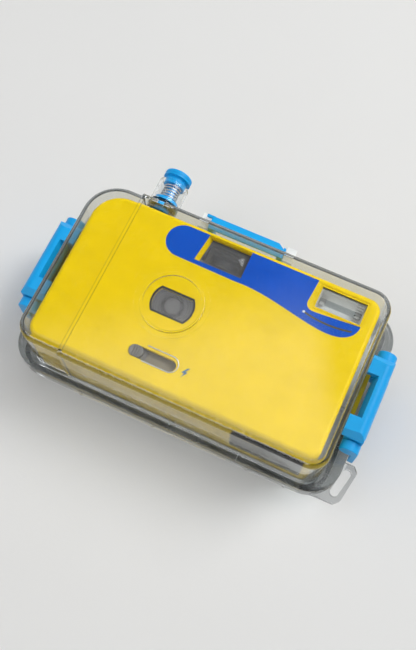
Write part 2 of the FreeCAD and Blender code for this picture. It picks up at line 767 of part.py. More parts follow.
def hook_profile():
    """The latch hook's cross-section: a bar over its barrel, with a lip over the lug."""
    corner_z = HOOK_TOP_Z - HOOK_ROUND
    corner_x = LATCH_OUT_X - HOOK_ROUND
    low = V(LATCH_OUT_X, 0, HOOK_PIVOT_Z)
    side = V(LATCH_OUT_X, 0, corner_z)
    bend = V(corner_x + HOOK_ROUND * math.sqrt(0.5), 0, corner_z + HOOK_ROUND * math.sqrt(0.5))
    top = V(corner_x, 0, HOOK_TOP_Z)
    inner = [top, V(HOOK_LIP_X, 0, HOOK_TOP_Z - HOOK_LIP_T * 0.15), V(HOOK_LIP_X, 0, HOOK_LIP_Z),
             V(HOOK_BAR_IN_X, 0, HOOK_LIP_Z), V(HOOK_BAR_IN_X, 0, HOOK_PIVOT_Z), low]
    edges = [Part.LineSegment(low, side).toShape(), Part.Arc(side, bend, top).toShape()]
    edges += [Part.LineSegment(a, b).toShape() for a, b in zip(inner, inner[1:])]
    return Part.Face(Part.Wire(edges))


def hook_window():
    """The opening through the hook; its outer wall leans out above the pin."""
    low = HOOK_PIVOT_Z - HOOK_BARREL_R - OVER
    near = HOOK_LIP_X - OVER
    side = -WINDOW_HALF_L
    points = [V(near, side, low), V(HOOK_BAR_IN_X, side, low),
              V(HOOK_BAR_IN_X, side, HOOK_PIVOT_Z + WINDOW_LEAN_RISE),
              V(HOOK_BAR_IN_X + WINDOW_LEAN, side, HOOK_TOP_Z),
              V(HOOK_BAR_IN_X + WINDOW_LEAN, side, HOOK_TOP_Z + OVER), V(near, side, HOOK_TOP_Z + OVER)]
    return Part.Face(Part.makePolygon(points + points[:1])).extrude(V(0, 2 * WINDOW_HALF_L, 0))


def latch_hook():
    bar = hook_profile().extrude(V(0, 2 * HOOK_HALF_L, 0))
    bar.translate(V(0, -HOOK_HALF_L, 0))
    pivot = V(HOOK_PIVOT_X, -HOOK_HALF_L, HOOK_PIVOT_Z)
    body = fuse([bar, cylinder(HOOK_BARREL_R, pivot, Y_AXIS, 2 * HOOK_HALF_L)])
    bore = cylinder(HOOK_PIN_R + GAP_SHAFT, pivot - Y_AXIS * OVER, Y_AXIS, 2 * (HOOK_HALF_L + OVER))
    slopes = []
    for side in (-1, 1):
        end = side * (HOOK_HALF_L + EPS)
        points = [V(HOOK_LIP_X - OVER, end, HOOK_TOP_Z + EPS),
                  V(HOOK_LIP_X - OVER, end - side * HOOK_END_SLOPE, HOOK_TOP_Z + EPS),
                  V(HOOK_LIP_X - OVER, end, HOOK_TOP_Z - HOOK_END_SLOPE)]
        face = Part.Face(Part.makePolygon(points + points[:1]))
        wedge = face.extrude(V(LATCH_OUT_X - HOOK_LIP_X + 2 * OVER, 0, 0))
        slopes.append(wedge)
    body = cut(body, [hook_window()] + slopes)
    body = softened(body, SOFT_EDGE, lambda e: abs(abs(e.BoundBox.Center.y) - HOOK_HALF_L) < EPS
                    or abs(abs(e.BoundBox.Center.y) - WINDOW_HALF_L) < EPS and e.BoundBox.ZMin > HOOK_LIP_Z)
    return body.cut(bore)


def latch_lever():
    """The lever: a ridged plate, a knuckle in the flange and two end knuckles for the hook."""
    half = KNUCKLE_START + KNUCKLE_L
    ear_z = LEVER_PIVOT_Z + LEVER_KNUCKLE_R + GAP_MOVE
    plate = box(LEVER_IN_X, LATCH_OUT_X, -half, half, ear_z, LEVER_TOP_Z)
    foot = box(LEVER_IN_X, LATCH_OUT_X, -LEVER_KNUCKLE_HALF, LEVER_KNUCKLE_HALF, LEVER_PIVOT_Z, ear_z)
    pivot = V(LEVER_PIVOT_X, -LEVER_KNUCKLE_HALF, LEVER_PIVOT_Z)
    parts = [plate, foot, cylinder(LEVER_KNUCKLE_R, pivot, Y_AXIS, 2 * LEVER_KNUCKLE_HALF)]
    for low in (KNUCKLE_START, -KNUCKLE_START - KNUCKLE_L):
        eye = V(HOOK_PIVOT_X, low, HOOK_PIVOT_Z)
        parts.append(cylinder(HOOK_BARREL_R, eye, Y_AXIS, KNUCKLE_L))
        parts.append(box(LEVER_IN_X, LATCH_OUT_X, low, low + KNUCKLE_L, LEVER_TOP_Z - OVER, HOOK_PIVOT_Z))
    for z in LEVER_RIDGE_ZS:
        parts.append(box(LATCH_OUT_X - OVER, LATCH_OUT_X + LEVER_RIDGE, -LEVER_RIDGE_HALF, LEVER_RIDGE_HALF,
                         z,
                         z + LEVER_RIDGE_T))
    lever = fuse(parts)
    lever = softened(lever, SOFT_EDGE, lambda e: abs(abs(e.BoundBox.Center.y) - half) < EPS
                     or in_plane(e, "X", LATCH_OUT_X + LEVER_RIDGE))
    hook_bore = cylinder(HOOK_PIN_R, V(HOOK_PIVOT_X, -half + OVER, HOOK_PIVOT_Z), Y_AXIS, 2 * (half - OVER))
    lever_bore = cylinder(LEVER_PIN_R + GAP_SHAFT, pivot - Y_AXIS * OVER, Y_AXIS,
                          2 * (LEVER_KNUCKLE_HALF + OVER))
    return cut(lever, [hook_bore, lever_bore])


def hook_pin():
    half = KNUCKLE_START + KNUCKLE_L - OVER
    return cylinder(HOOK_PIN_R, V(HOOK_PIVOT_X, -half, HOOK_PIVOT_Z), Y_AXIS, 2 * half)


def lever_pins():
    half = LEVER_KNUCKLE_HALF + GAP_MOVE + EAR_L
    pin = cylinder(LEVER_PIN_R, V(LEVER_PIVOT_X, -half, LEVER_PIVOT_Z), Y_AXIS, 2 * half)
    return group([pin, mirrored(pin)])


# Sports finder


def finder_bar(x0, x1):
    """The front bar, bevelled where it swings past the wall and rounded along its top."""
    z0 = FINDER_PIVOT_Z + FINDER_BAR_BACK
    z1 = FINDER_PIVOT_Z + FINDER_BAR_FRONT
    low = FINDER_PIVOT_Y - FINDER_BAR_LOW
    high = FINDER_PIVOT_Y + FINDER_BAR_HIGH
    points = [V(x0, low, z0), V(x0, low, z1 - FINDER_BEVEL_T), V(x0, low + FINDER_BEVEL_H, z1),
              V(x0, high, z1), V(x0, high, z0)]
    bar = Part.Face(Part.makePolygon(points + points[:1])).extrude(V(x1 - x0, 0, 0))
    return softened(bar, SOFT_EDGE, lambda e: in_plane(e, "Y", high) and e.BoundBox.XLength > SOFT_EDGE)


def finder_frame():
    """A rectangular frame folded down on the top wall, with its front bar past the pivot."""
    back_z = FINDER_FAR_Z
    arm_top = FINDER_PIVOT_Y + FINDER_ARM * 0.6
    bar_z0 = FINDER_PIVOT_Z + FINDER_BAR_BACK
    bar_z1 = FINDER_PIVOT_Z + FINDER_BAR_FRONT
    bar_y0 = FINDER_PIVOT_Y - FINDER_BAR_LOW
    bar_y1 = FINDER_PIVOT_Y + FINDER_BAR_HIGH
    right_x = FINDER_HALF_W - FINDER_TAB_T
    parts = [finder_bar(-FINDER_HALF_W, right_x),
             box(-FINDER_HALF_W, FINDER_HALF_W, FINDER_ARM_LOW_Y, FINDER_ARM_LOW_Y + FINDER_ARM, back_z,
                 back_z + FINDER_FAR_W),
             box(-FINDER_HALF_W - FINDER_TAB, -FINDER_HALF_W + OVER, bar_y1 - FINDER_TAB_T, bar_y1, bar_z0,
                 bar_z1)]
    for side in (-1, 1):
        x0 = min(side * FINDER_HALF_W, side * (FINDER_HALF_W - FINDER_ARM))
        points = [V(x0, FINDER_ARM_LOW_Y, back_z), V(x0, FINDER_ARM_LOW_Y, FINDER_PIVOT_Z - EAR_BACK),
                  V(x0, bar_y0, bar_z0), V(x0, bar_y0, bar_z1 - FINDER_BEVEL_T),
                  V(x0, arm_top, bar_z1 - FINDER_BEVEL_T),
                  V(x0, arm_top, FINDER_PIVOT_Z - EAR_BACK), V(x0, FINDER_ARM_LOW_Y + FINDER_ARM, back_z)]
        parts.append(Part.Face(Part.makePolygon(points + points[:1])).extrude(V(FINDER_ARM, 0, 0)))
    frame = fuse(parts)
    bores = [cylinder(FINDER_PIN_R + GAP_SHAFT, V(side * (FINDER_HALF_W - FINDER_ARM - OVER),
                                                  FINDER_PIVOT_Y,
                                                  FINDER_PIVOT_Z), X_AXIS * side, FINDER_ARM + 2 * OVER)
             for side in (-1, 1)]
    tip = [V(right_x + EPS, bar_y1 + EPS, bar_z0 - OVER),
           V(right_x - FINDER_TIP_W, bar_y1 + EPS, bar_z0 - OVER),
           V(right_x + EPS, bar_y1 - FINDER_TIP_H, bar_z0 - OVER)]
    slope = Part.Face(Part.makePolygon(tip + tip[:1])).extrude(V(0, 0, FINDER_BAR_FRONT + OVER))
    return cut(frame, bores + [slope])


def finder_pins():
    start = FINDER_HALF_W - FINDER_ARM
    length = FINDER_ARM + GAP_MOVE + EAR_W * 0.8
    return group(cylinder(FINDER_PIN_R, V(side * start, FINDER_PIVOT_Y, FINDER_PIVOT_Z), X_AXIS * side,
                          length)
                 for side in (-1, 1))


# Shutter plunger


def plunger_cap():
    """The blue cap: a grooved head, and a skirt that slides in the sleeve."""
    groove_low = CAP_Y + CAP_GROOVE_AT
    groove_high = groove_low + CAP_GROOVE_W
    base = V(PLUNGER_X, 0, PLUNGER_Z)
    points = [(STEM_R, SKIRT_BOTTOM_Y), (SKIRT_R, SKIRT_BOTTOM_Y), (SKIRT_R, CAP_Y), (CAP_R, CAP_Y),
              (CAP_R, groove_low), (CAP_R - CAP_GROOVE, groove_low), (CAP_R - CAP_GROOVE, groove_high),
              (CAP_R, groove_high), (CAP_R, CAP_Y + CAP_T), (0, CAP_Y + CAP_T), (0, CAP_Y), (STEM_R, CAP_Y)]
    cap = turned(points, base, Y_AXIS)
    top = CAP_Y + CAP_T
    rim = [e for e in cap.Edges if abs(e.BoundBox.YMin - top) < EPS and abs(e.BoundBox.YMax - top) < EPS]
    return cap.makeFillet(CAP_EDGE_R, rim)


def plunger_stem():
    stem = cylinder(STEM_R, V(PLUNGER_X, STEM_END_Y, PLUNGER_Z), Y_AXIS, CAP_Y - STEM_END_Y)
    clip_low = IN_Y - GAP_SEAT - CLIP_T
    notch = ring(CLIP_R, STEM_R - 2 * GAP_SEAT, V(PLUNGER_X, clip_low, PLUNGER_Z), Y_AXIS, CLIP_T)
    return stem.cut(notch)


def stem_clip():
    clip_low = IN_Y - GAP_SEAT - CLIP_T
    washer = ring(CLIP_R, STEM_R - 2 * GAP_SEAT, V(PLUNGER_X, clip_low, PLUNGER_Z), Y_AXIS, CLIP_T)
    mouth = box(PLUNGER_X - STEM_R / 2, PLUNGER_X + STEM_R / 2, clip_low, clip_low + CLIP_T,
                PLUNGER_Z - CLIP_R, PLUNGER_Z - STEM_R / 2)
    return washer.cut(mouth)


def stem_seal():
    centre = V(PLUNGER_X, PLUNGER_FLOOR_Y - STEM_SEAL_WIRE_R, PLUNGER_Z)
    return Part.makeTorus(STEM_R + GAP_SHAFT + STEM_SEAL_WIRE_R, STEM_SEAL_WIRE_R, centre, Y_AXIS)


def plunger_washer():
    return ring(WASHER_R, STEM_R + GAP_SHAFT, V(PLUNGER_X, PLUNGER_FLOOR_Y, PLUNGER_Z), Y_AXIS, WASHER_T)


def helix_point(t, radius, pitch, start_y):
    """A point on the spring's line and the direction of the line there, after t turns."""
    a = 2 * math.pi * t
    point = V(PLUNGER_X + radius * math.cos(a), start_y + pitch * t, PLUNGER_Z - radius * math.sin(a))
    heading = V(-radius * math.sin(a), pitch / (2 * math.pi), -radius * math.cos(a)).normalize()
    return point, heading


def tangent_arc(start, corner, end):
    """The arc that touches two equal legs meeting at a corner."""
    chord = end - start
    half = chord.Length / 2
    leg = (corner - start).Length
    w = half / leg
    middle = (start + end + corner * (2 * w)) * (1 / (2 + 2 * w))
    return Part.Arc(start, middle, end).toShape()


def plunger_spring():
    """A round-wire coil on quarter turns, each of two arcs that share their tangents."""
    low = WASHER_TOP_Y + SPRING_WIRE_R
    pitch = (SKIRT_BOTTOM_Y - SPRING_WIRE_R - low) / SPRING_TURNS
    edges = []
    for i in range(4 * SPRING_TURNS):
        p0, t0 = helix_point(i / 4, SPRING_R, pitch, low)
        p1, t1 = helix_point((i + 1) / 4, SPRING_R, pitch, low)
        v = p1 - p0
        t = t0 + t1
        k = 2 * (1 - t0.dot(t1))
        d = (-v.dot(t) + math.sqrt(v.dot(t) ** 2 + k * v.dot(v))) / k
        a = p0 + t0 * d
        b = p1 - t1 * d
        joint = (a + b) * 0.5
        edges.append(tangent_arc(p0, a, joint))
        edges.append(tangent_arc(joint, b, p1))
    path = Part.Wire(edges)
    start, heading = helix_point(0, SPRING_R, pitch, low)
    section = Part.Wire(Part.makeCircle(SPRING_WIRE_R, start, heading))
    print("spring: gap between turns", round(pitch - 2 * SPRING_WIRE_R, 3), "mm, turn radius", SPRING_R,
          "mm")
    return path.makePipeShell([section], True, False)


# Film advance knob


def advance_knob():
    """A flat grip-edged knob with its shaft through the back."""
    low = V(SPOOL_X, KNOB_Y, KNOB_LOW_Z)
    disc = rounded_at(cylinder(KNOB_R, low, Z_AXIS, KNOB_T), KNOB_LOW_Z, SOFT_EDGE)
    cup = cylinder(KNOB_R - KNOB_RIM, low + Z_AXIS * KNOB_WEB, Z_AXIS, KNOB_T)
    shaft = cylinder(KNOB_SHAFT_R, low, Z_AXIS, REAR_IN_Z + GAP_MOVE + ROLLER_T - KNOB_LOW_Z)
    notches = []
    for i in range(KNOB_RIBS):
        a = 2 * math.pi * i / KNOB_RIBS
        spot = low + V(math.cos(a), math.sin(a), 0) * (KNOB_R + GAP_MOVE)
        notches.append(cylinder(2 * GAP_MOVE + GAP_MOVE, spot - Z_AXIS * OVER, Z_AXIS, KNOB_T + 2 * OVER))
    return cut(disc.cut(cup).fuse(shaft), [group(notches)]).removeSplitter()


def advance_seal():
    centre = V(SPOOL_X, KNOB_Y, SKIRT_H - KNOB_BOSS_DROP + SEAL_WIRE_R)
    return Part.makeTorus(KNOB_SHAFT_R + GAP_SHAFT + SEAL_WIRE_R, SEAL_WIRE_R, centre, Z_AXIS)


def advance_roller():
    low = V(SPOOL_X, KNOB_Y, REAR_IN_Z + GAP_MOVE)
    return ring(ROLLER_R, KNOB_SHAFT_R, low, Z_AXIS, ROLLER_T)


# Camera covers


def panel_outline(z):
    """The blue panel's outline: a round left end, a swept lower edge and a notch for the flash."""
    y_low = PANEL_TOP_Y - 2 * PANEL_END_R
    y_mid = PANEL_TOP_Y - PANEL_END_R
    top_left = V(PANEL_END_X, PANEL_TOP_Y, z)
    low_left = V(PANEL_END_X, y_low, z)
    end = Part.Arc(top_left, V(PANEL_END_X - PANEL_END_R, y_mid, z), low_left).toShape()
    sweep = Part.BSplineCurve()
    lows = [V(x, y, z) for x, y in PANEL_LOW + (PANEL_RIGHT,)]
    sweep.interpolate(lows)
    corner = [V(x, y, z) for x, y in (SURROUND_LOW, SURROUND_BEND, SURROUND_UP)]
    bend = Part.BezierCurve()
    bend.setPoles(corner)
    top_right = V(PANEL_TOP_RIGHT_X, PANEL_TOP_Y, z)
    edges = [end, Part.LineSegment(low_left, lows[0]).toShape(), sweep.toShape(),
             Part.LineSegment(lows[-1], corner[0]).toShape(), bend.toShape(),
             Part.LineSegment(corner[-1], top_right).toShape(),
             Part.LineSegment(top_right, top_left).toShape()]
    return Part.Wire(edges)


def accent_curve(offset, z0, height):
    """A thin curved bar in the panel under the flash."""
    half = ACCENT_W / 2 + offset
    lows = [V(x, y - half, z0) for x, y in ACCENT]
    highs = [V(x, y + half, z0) for x, y in ACCENT]
    edges = [Part.Arc(*lows).toShape(), Part.LineSegment(lows[-1], highs[-1]).toShape(),
             Part.Arc(*reversed(highs)).toShape(), Part.LineSegment(highs[0], lows[0]).toShape()]
    return Part.Face(Part.Wire(edges)).extrude(V(0, 0, height))


def finder_opening(inset, z0, z1):
    """The viewfinder's four-sided opening, straight up."""
    xs = [p[0] for p in FINDER_WINDOW]
    cx = sum(xs) / len(xs)
    cy = (FINDER_WINDOW[0][1] + FINDER_WINDOW[2][1]) / 2
    points = []
    for x, y in FINDER_WINDOW:
        points.append((x + (inset if x < cx else -inset), y + (inset if y < cy else -inset)))
    return prism(polygon(points, z0), z1 - z0)


def finder_recess():
    """The sloping-sided recess in front of the viewfinder's glass."""
    xs = [p[0] for p in FINDER_WINDOW]
    cx = sum(xs) / len(xs)
    floor = [(x + (FINDER_TAPER if x < cx else 0.3), y) for x, y in FINDER_WINDOW]
    wires = [polygon(floor, CAMERA_FACE_Z - FINDER_RECESS), polygon(FINDER_WINDOW, CAMERA_FACE_Z + EPS)]
    return Part.makeLoft(wires, True, True)


def camera_outline(inset, z0, z1):
    return rounded_block(CAM_X - inset, CAM_Y - inset, less_corners(CAMERA_CORNERS, inset), z0, z1)


def bottom_step_room(y0, y1):
    """The stepped part of the lower wall that the dark bottom plate fills."""
    blocks = []
    ends = [x for x, _ in BOTTOM_STEPS[1:]] + [BOTTOM_PLATE_END_X]
    for (x0, z1), x1 in zip(BOTTOM_STEPS, ends):
        blocks.append(box(x0, x1, y0, y1, COVER_PARTING_Z, z1))
    return fuse(blocks)


def screw_posts():
    """Round posts inside the front cover that the screws bite into."""
    posts = []
    for x, y in SCREW_POSITIONS:
        top = GRIP_IN_Z if x < GRIP_X else COVER_IN_Z
        start = COVER_PARTING_Z + CHASSIS_T
        post = cylinder(SCREW_POST_R, V(x, y, start), Z_AXIS, top + OVER / 2 - start)
        posts.append(post.cut(cylinder(SCREW_R, V(x, y, start - OVER), Z_AXIS, SCREW_L)))
    return posts


def bezel_line():
    """A fine groove in the cover round the flash."""
    centre = ((FLASH_X0 + FLASH_X1) / 2, (FLASH_Y0 + FLASH_Y1) / 2)
    half_x = (FLASH_X1 - FLASH_X0) / 2 + BEZEL_OUT
    half_y = (FLASH_Y1 - FLASH_Y0) / 2 + BEZEL_OUT
    corners = same_corners(BEZEL_OUT)
    outer = rounded_block(half_x, half_y, corners, CAMERA_FACE_Z - BEZEL_DEEP, CAMERA_FACE_Z + OVER, centre)
    inner = rounded_block(half_x - BEZEL_W, half_y - BEZEL_W, less_corners(corners, BEZEL_W),
                          CAMERA_FACE_Z - BEZEL_DEEP - OVER, CAMERA_FACE_Z + 2 * OVER, centre)
    return outer.cut(inner)


def front_cover():
    """The yellow front of the camera."""
    body = rounded_at(camera_outline(0, COVER_PARTING_Z, CAMERA_FACE_Z), CAMERA_FACE_Z, CAMERA_EDGE_R)
    low_z = CAMERA_FACE_Z - GRIP_DROP
    grip = rounded_at(camera_outline(0, COVER_PARTING_Z, low_z), low_z, CAMERA_EDGE_R)
    body = fuse([body.common(box(GRIP_X, CAM_X, -CAM_Y, CAM_Y, 0, CAMERA_FACE_Z)),
                 grip.common(box(-CAM_X, GRIP_X, -CAM_Y, CAM_Y, 0, CAMERA_FACE_Z))])
    room = camera_outline(CAMERA_WALL, COVER_PARTING_Z - OVER, COVER_IN_Z)
    room = cut(room, [box(-CAM_X, GRIP_X + CAMERA_WALL, -CAM_Y, CAM_Y, GRIP_IN_Z, CAMERA_FACE_Z)])
    body = body.cut(room)
    finder_wall = finder_opening(-CAMERA_WALL, CAMERA_FACE_Z - FINDER_RECESS - CAMERA_WALL / 2,
                                 COVER_IN_Z + OVER / 2)
    body = fuse([body, finder_wall] + screw_posts())
    window_z = CAMERA_FACE_Z - WINDOW_T
    top_hole = V(PLUNGER_X, CAM_Y - BUTTON_DISH, PLUNGER_Z)
    dish_wall = V(PLUNGER_X, CAM_Y - BUTTON_DISH - CAMERA_WALL, PLUNGER_Z)
    body = fuse([body, cylinder(BUTTON_DISH_R + CAMERA_WALL, dish_wall, Y_AXIS,
                                BUTTON_DISH + CAMERA_WALL - EPS)])
    tools = [finder_recess(), finder_opening(CAMERA_WALL, PARTING_Z, CAMERA_FACE_Z),
             prism(panel_outline(CAMERA_FACE_Z - PANEL_T), PANEL_T + OVER),
             lens_window_prism(-GAP_SMALL, window_z, CAMERA_FACE_Z + OVER),
             lens_window_prism(WINDOW_LAND, COVER_IN_Z - OVER, CAMERA_FACE_Z),
             pill(SWITCH_X0, SWITCH_X1, SWITCH_Y, SWITCH_HALF_H, COVER_IN_Z - OVER, CAMERA_FACE_Z + OVER),
             box(FLASH_X0, FLASH_X1, FLASH_Y0, FLASH_Y1, COVER_IN_Z - OVER, CAMERA_FACE_Z + OVER),
             bezel_line(),
             cylinder(BUTTON_DISH_R, top_hole, Y_AXIS, BUTTON_DISH + OVER),
             cylinder(BUTTON_R + GAP_SMALL, top_hole - Y_AXIS * 2 * CAMERA_WALL, Y_AXIS, 3 * CAMERA_WALL),
             bottom_step_room(-CAM_Y - OVER, -CAM_Y + CAMERA_WALL + EPS),
             cylinder(DIAL_WINDOW_R, V(DIAL_X, CAM_Y - 2 * CAMERA_WALL, DIAL_Z + DIAL_R / 2), Y_AXIS,
                      3 * CAMERA_WALL),
             box(*BATTERY_DOOR_X, -CAM_Y - OVER, -CAM_Y + CAMERA_WALL + EPS, *BATTERY_DOOR_Z)]
    body = cut(body, tools)
    thumb = pill(THUMB_SLOT_X - THUMB_SLOT_W / 2, THUMB_SLOT_X + THUMB_SLOT_W / 2, 0, THUMB_SLOT_H / 2, 0,
                 OVER)
    thumb.rotate(V(0, 0, 0), X_AXIS, 90)
    thumb.translate(V(0, -CAM_Y + OVER / 2, THUMB_SLOT_Z))
    return body.cut(thumb)


def front_panel():
    """The blue panel, let into the cover, with the viewfinder and the accent line cut out of it."""
    plate = prism(panel_outline(CAMERA_FACE_Z - PANEL_T), PANEL_T)
    gap = finder_opening(0, CAMERA_FACE_Z - OVER, CAMERA_FACE_Z + OVER)
    gap = fuse([gap, box(FINDER_WINDOW[0][0], FINDER_WINDOW[1][0], FINDER_WINDOW[0][1] - EPS,
                         PANEL_TOP_Y + OVER,
                         CAMERA_FACE_Z - OVER, CAMERA_FACE_Z + OVER)])
    line = accent_curve(GAP_SMALL / 2, CAMERA_FACE_Z - ACCENT_T, OVER)
    return cut(plate, [gap, line])


def accent_line():
    return accent_curve(0, CAMERA_FACE_Z - ACCENT_T, ACCENT_T)


def camera_back():
    """The back cover, with the film door's opening, the eyepiece and the thumbwheel's slot."""
    body = rounded_at(camera_outline(0, CAMERA_BACK_Z, COVER_PARTING_Z), CAMERA_BACK_Z, CAMERA_BACK_EDGE_R)
    room = camera_outline(CAMERA_WALL, CAMERA_BACK_Z + BACK_WALL, COVER_PARTING_Z + OVER)
    eye_x = (FINDER_WINDOW[0][0] + FINDER_WINDOW[1][0]) / 2
    eye_y = (FINDER_WINDOW[0][1] + FINDER_WINDOW[2][1]) / 2
    eye = box(eye_x - EYEPIECE_W / 2, eye_x + EYEPIECE_W / 2, eye_y - EYEPIECE_H / 2,
              eye_y + EYEPIECE_H / 2,
              CAMERA_BACK_Z - OVER, COVER_PARTING_Z)
    slot_half = math.sqrt(THUMBWHEEL_R ** 2 - (SPOOL_Z - CAMERA_BACK_Z - BACK_WALL) ** 2) + GAP_MOVE
    slot = box(SPOOL_X - slot_half, SPOOL_X + slot_half, THUMBWHEEL_Y - GAP_MOVE,
               THUMBWHEEL_Y + THUMBWHEEL_T + GAP_MOVE,
               CAMERA_BACK_Z - OVER, COVER_PARTING_Z)
    heads = [cylinder(SCREW_HEAD_R + GAP_SEAT, V(x, y, CAMERA_BACK_Z - OVER), Z_AXIS, OVER + SCREW_HEAD_T)
             for x, y in SCREW_POSITIONS]
    bores = [cylinder(SCREW_R + GAP_SHAFT, V(x, y, CAMERA_BACK_Z - OVER), Z_AXIS, COVER_PARTING_Z)
             for x, y in SCREW_POSITIONS]
    return cut(body, [room, eye, slot, door_blank(0, CAMERA_BACK_Z - OVER, COVER_PARTING_Z)] + heads
               + bores)


def door_blank(inset, z0, z1):
    """The film door's outline, pulled up between two levels."""
    mid_y = (DOOR_Y[0] + DOOR_Y[1]) / 2
    half_y = (DOOR_Y[1] - DOOR_Y[0]) / 2
    return rounded_block(DOOR_X - inset, half_y - inset, same_corners(DOOR_CORNER_R - inset), z0, z1,
                         (0, mid_y))


def film_door():
    """The door over the film, with a stepped opening for its small window."""
    top = CAMERA_BACK_Z + BACK_WALL
    door = door_blank(GAP_SMALL, CAMERA_BACK_Z, top)
    seat = box(*FILM_WINDOW_X, *FILM_WINDOW_Y, CAMERA_BACK_Z - OVER, CAMERA_BACK_Z + FILM_WINDOW_T)
    hole = box(FILM_WINDOW_X[0] + FILM_WINDOW_STEP, FILM_WINDOW_X[1] - FILM_WINDOW_STEP,
               FILM_WINDOW_Y[0] + FILM_WINDOW_STEP,
               FILM_WINDOW_Y[1] - FILM_WINDOW_STEP, CAMERA_BACK_Z, top + OVER)
    hinge_line = box(DOOR_X - 2 * DOOR_HINGE_W, DOOR_X - 2 * DOOR_HINGE_W + SOFT_EDGE, DOOR_Y[0], DOOR_Y[1],
                     CAMERA_BACK_Z - OVER, CAMERA_BACK_Z + SOFT_EDGE)
    return cut(door, [seat, hole, hinge_line])


def film_window():
    """The small window that shows whether a cassette is loaded."""
    x0, x1 = FILM_WINDOW_X
    y0, y1 = FILM_WINDOW_Y
    return box(x0 + GAP_SMALL, x1 - GAP_SMALL, y0 + GAP_SMALL, y1 - GAP_SMALL, CAMERA_BACK_Z,
               CAMERA_BACK_Z + FILM_WINDOW_T)


def bottom_plate():
    """The dark stepped plate in the lower wall, with the rewind knob's opening."""
    plate = bottom_step_room(-CAM_Y, -CAM_Y + CAMERA_WALL)
    hole = cylinder(REWIND_R + GAP_MOVE, V(CASSETTE_X, -CAM_Y - OVER, CASSETTE_Z), Y_AXIS,
                    OVER + REWIND_T + GAP_SMALL)
    shaft = cylinder(HUB_R, V(CASSETTE_X, -CAM_Y, CASSETTE_Z), Y_AXIS, CAMERA_WALL + OVER)
    return cut(plate, [hole, shaft])


def battery_door():
    x0, x1 = BATTERY_DOOR_X
    z0, z1 = BATTERY_DOOR_Z
    return box(x0 + GAP_SMALL, x1 - GAP_SMALL, -CAM_Y, -CAM_Y + CAMERA_WALL, z0 + GAP_SMALL, z1 - GAP_SMALL)


# Lens group


def lens_window():
    return lens_window_prism(0, CAMERA_FACE_Z - WINDOW_T, CAMERA_FACE_Z)


def lens_barrel():
    """The barrel with a wide ringed face behind the window."""
    inner = BARREL_R - BARREL_WALL
    base = V(LENS_X, LENS_Y, BARREL_BACK_Z)
    height = BARREL_TOP_Z - BARREL_BACK_Z
    face = V(LENS_X, LENS_Y, BARREL_TOP_Z - BARREL_FACE_T)
    barrel = fuse([cylinder(BARREL_R, base, Z_AXIS, height),
                   cylinder(BARREL_FACE_R, face, Z_AXIS, BARREL_FACE_T)])
    top = V(LENS_X, LENS_Y, BARREL_TOP_Z - BARREL_RING_W)
    grooves = [ring(r + BARREL_RING_W, r, top, Z_AXIS, OVER) for r in BARREL_RINGS]
    return cut(barrel, [cylinder(inner, base - Z_AXIS * OVER, Z_AXIS, height + 2 * OVER)] + grooves)


def cap_sphere(radius, bulge, end_z, side):
    """The sphere of a lens face that bulges to end_z, upwards for side 1 and downwards for side -1."""
    sphere_r = (radius ** 2 + bulge ** 2) / (2 * bulge)
    return Part.makeSphere(sphere_r, V(LENS_X, LENS_Y, end_z - side * sphere_r))


def front_lens():
    radius = BARREL_R - BARREL_WALL
    z0 = BARREL_BACK_Z + REAR_LENS_T + APERTURE_T
    height = FRONT_LENS_T + LENS_BULGE
    blank = cylinder(radius, V(LENS_X, LENS_Y, z0), Z_AXIS, height)
    return blank.common(cap_sphere(radius, LENS_BULGE, z0 + height, 1))


def rear_lens():
    radius = BARREL_R - BARREL_WALL
    blank = cylinder(radius, V(LENS_X, LENS_Y, BARREL_BACK_Z), Z_AXIS, REAR_LENS_T)
    return blank.common(cap_sphere(radius, LENS_BULGE / 2, BARREL_BACK_Z, -1))


def aperture_plate():
    return ring(BARREL_R - BARREL_WALL, APERTURE_R, V(LENS_X, LENS_Y, BARREL_BACK_Z + REAR_LENS_T), Z_AXIS,
                APERTURE_T)


def shutter_housing():
    """A shallow box on the lens board that the blade swings in and the barrel stands on."""
    z0 = BOARD_Z + BOARD_T
    z1 = z0 + BLADE_GAP + HOUSING_WALL
    centre = (LENS_X, LENS_Y)
    corners = same_corners(2 * HOUSING_WALL)
    body = rounded_block(HOUSING_HALF_W, HOUSING_HALF_H, corners, z0, z1, centre)
    room = rounded_block(HOUSING_HALF_W - HOUSING_WALL, HOUSING_HALF_H - HOUSING_WALL,
                         less_corners(corners, HOUSING_WALL), z0 - OVER, z0 + BLADE_GAP, centre)
    hole = cylinder(BLADE_HOLE_R * 1.6, V(LENS_X, LENS_Y, z0), Z_AXIS, BLADE_GAP + HOUSING_WALL + OVER)
    return cut(body, [room, hole])


def shutter_blade():
    """The blade over the light hole, with its pivot pin in the lens board."""
    z0 = BOARD_Z + BOARD_T + (BLADE_GAP - BLADE_T) / 2
    pivot = V(LENS_X + BLADE_PIVOT_DX, LENS_Y + BLADE_PIVOT_DY, z0)
    cover = cylinder(BLADE_R, V(LENS_X, LENS_Y, z0), Z_AXIS, BLADE_T)
    arm_dir = V(-BLADE_PIVOT_DX, -BLADE_PIVOT_DY, 0)
    arm = box(0, arm_dir.Length, -BLADE_R / 2, BLADE_R / 2, 0, BLADE_T)
    arm.rotate(V(0, 0, 0), Z_AXIS, math.degrees(math.atan2(arm_dir.y, arm_dir.x)))
    arm.translate(pivot)
    eye = cylinder(BLADE_R / 2, pivot, Z_AXIS, BLADE_T)
    pin_low = BOARD_Z + GAP_MOVE
    pin = cylinder(BLADE_PIN_R, V(pivot.x, pivot.y, pin_low), Z_AXIS, z0 + BLADE_T - pin_low)
    return fuse([cover, arm, eye, pin])


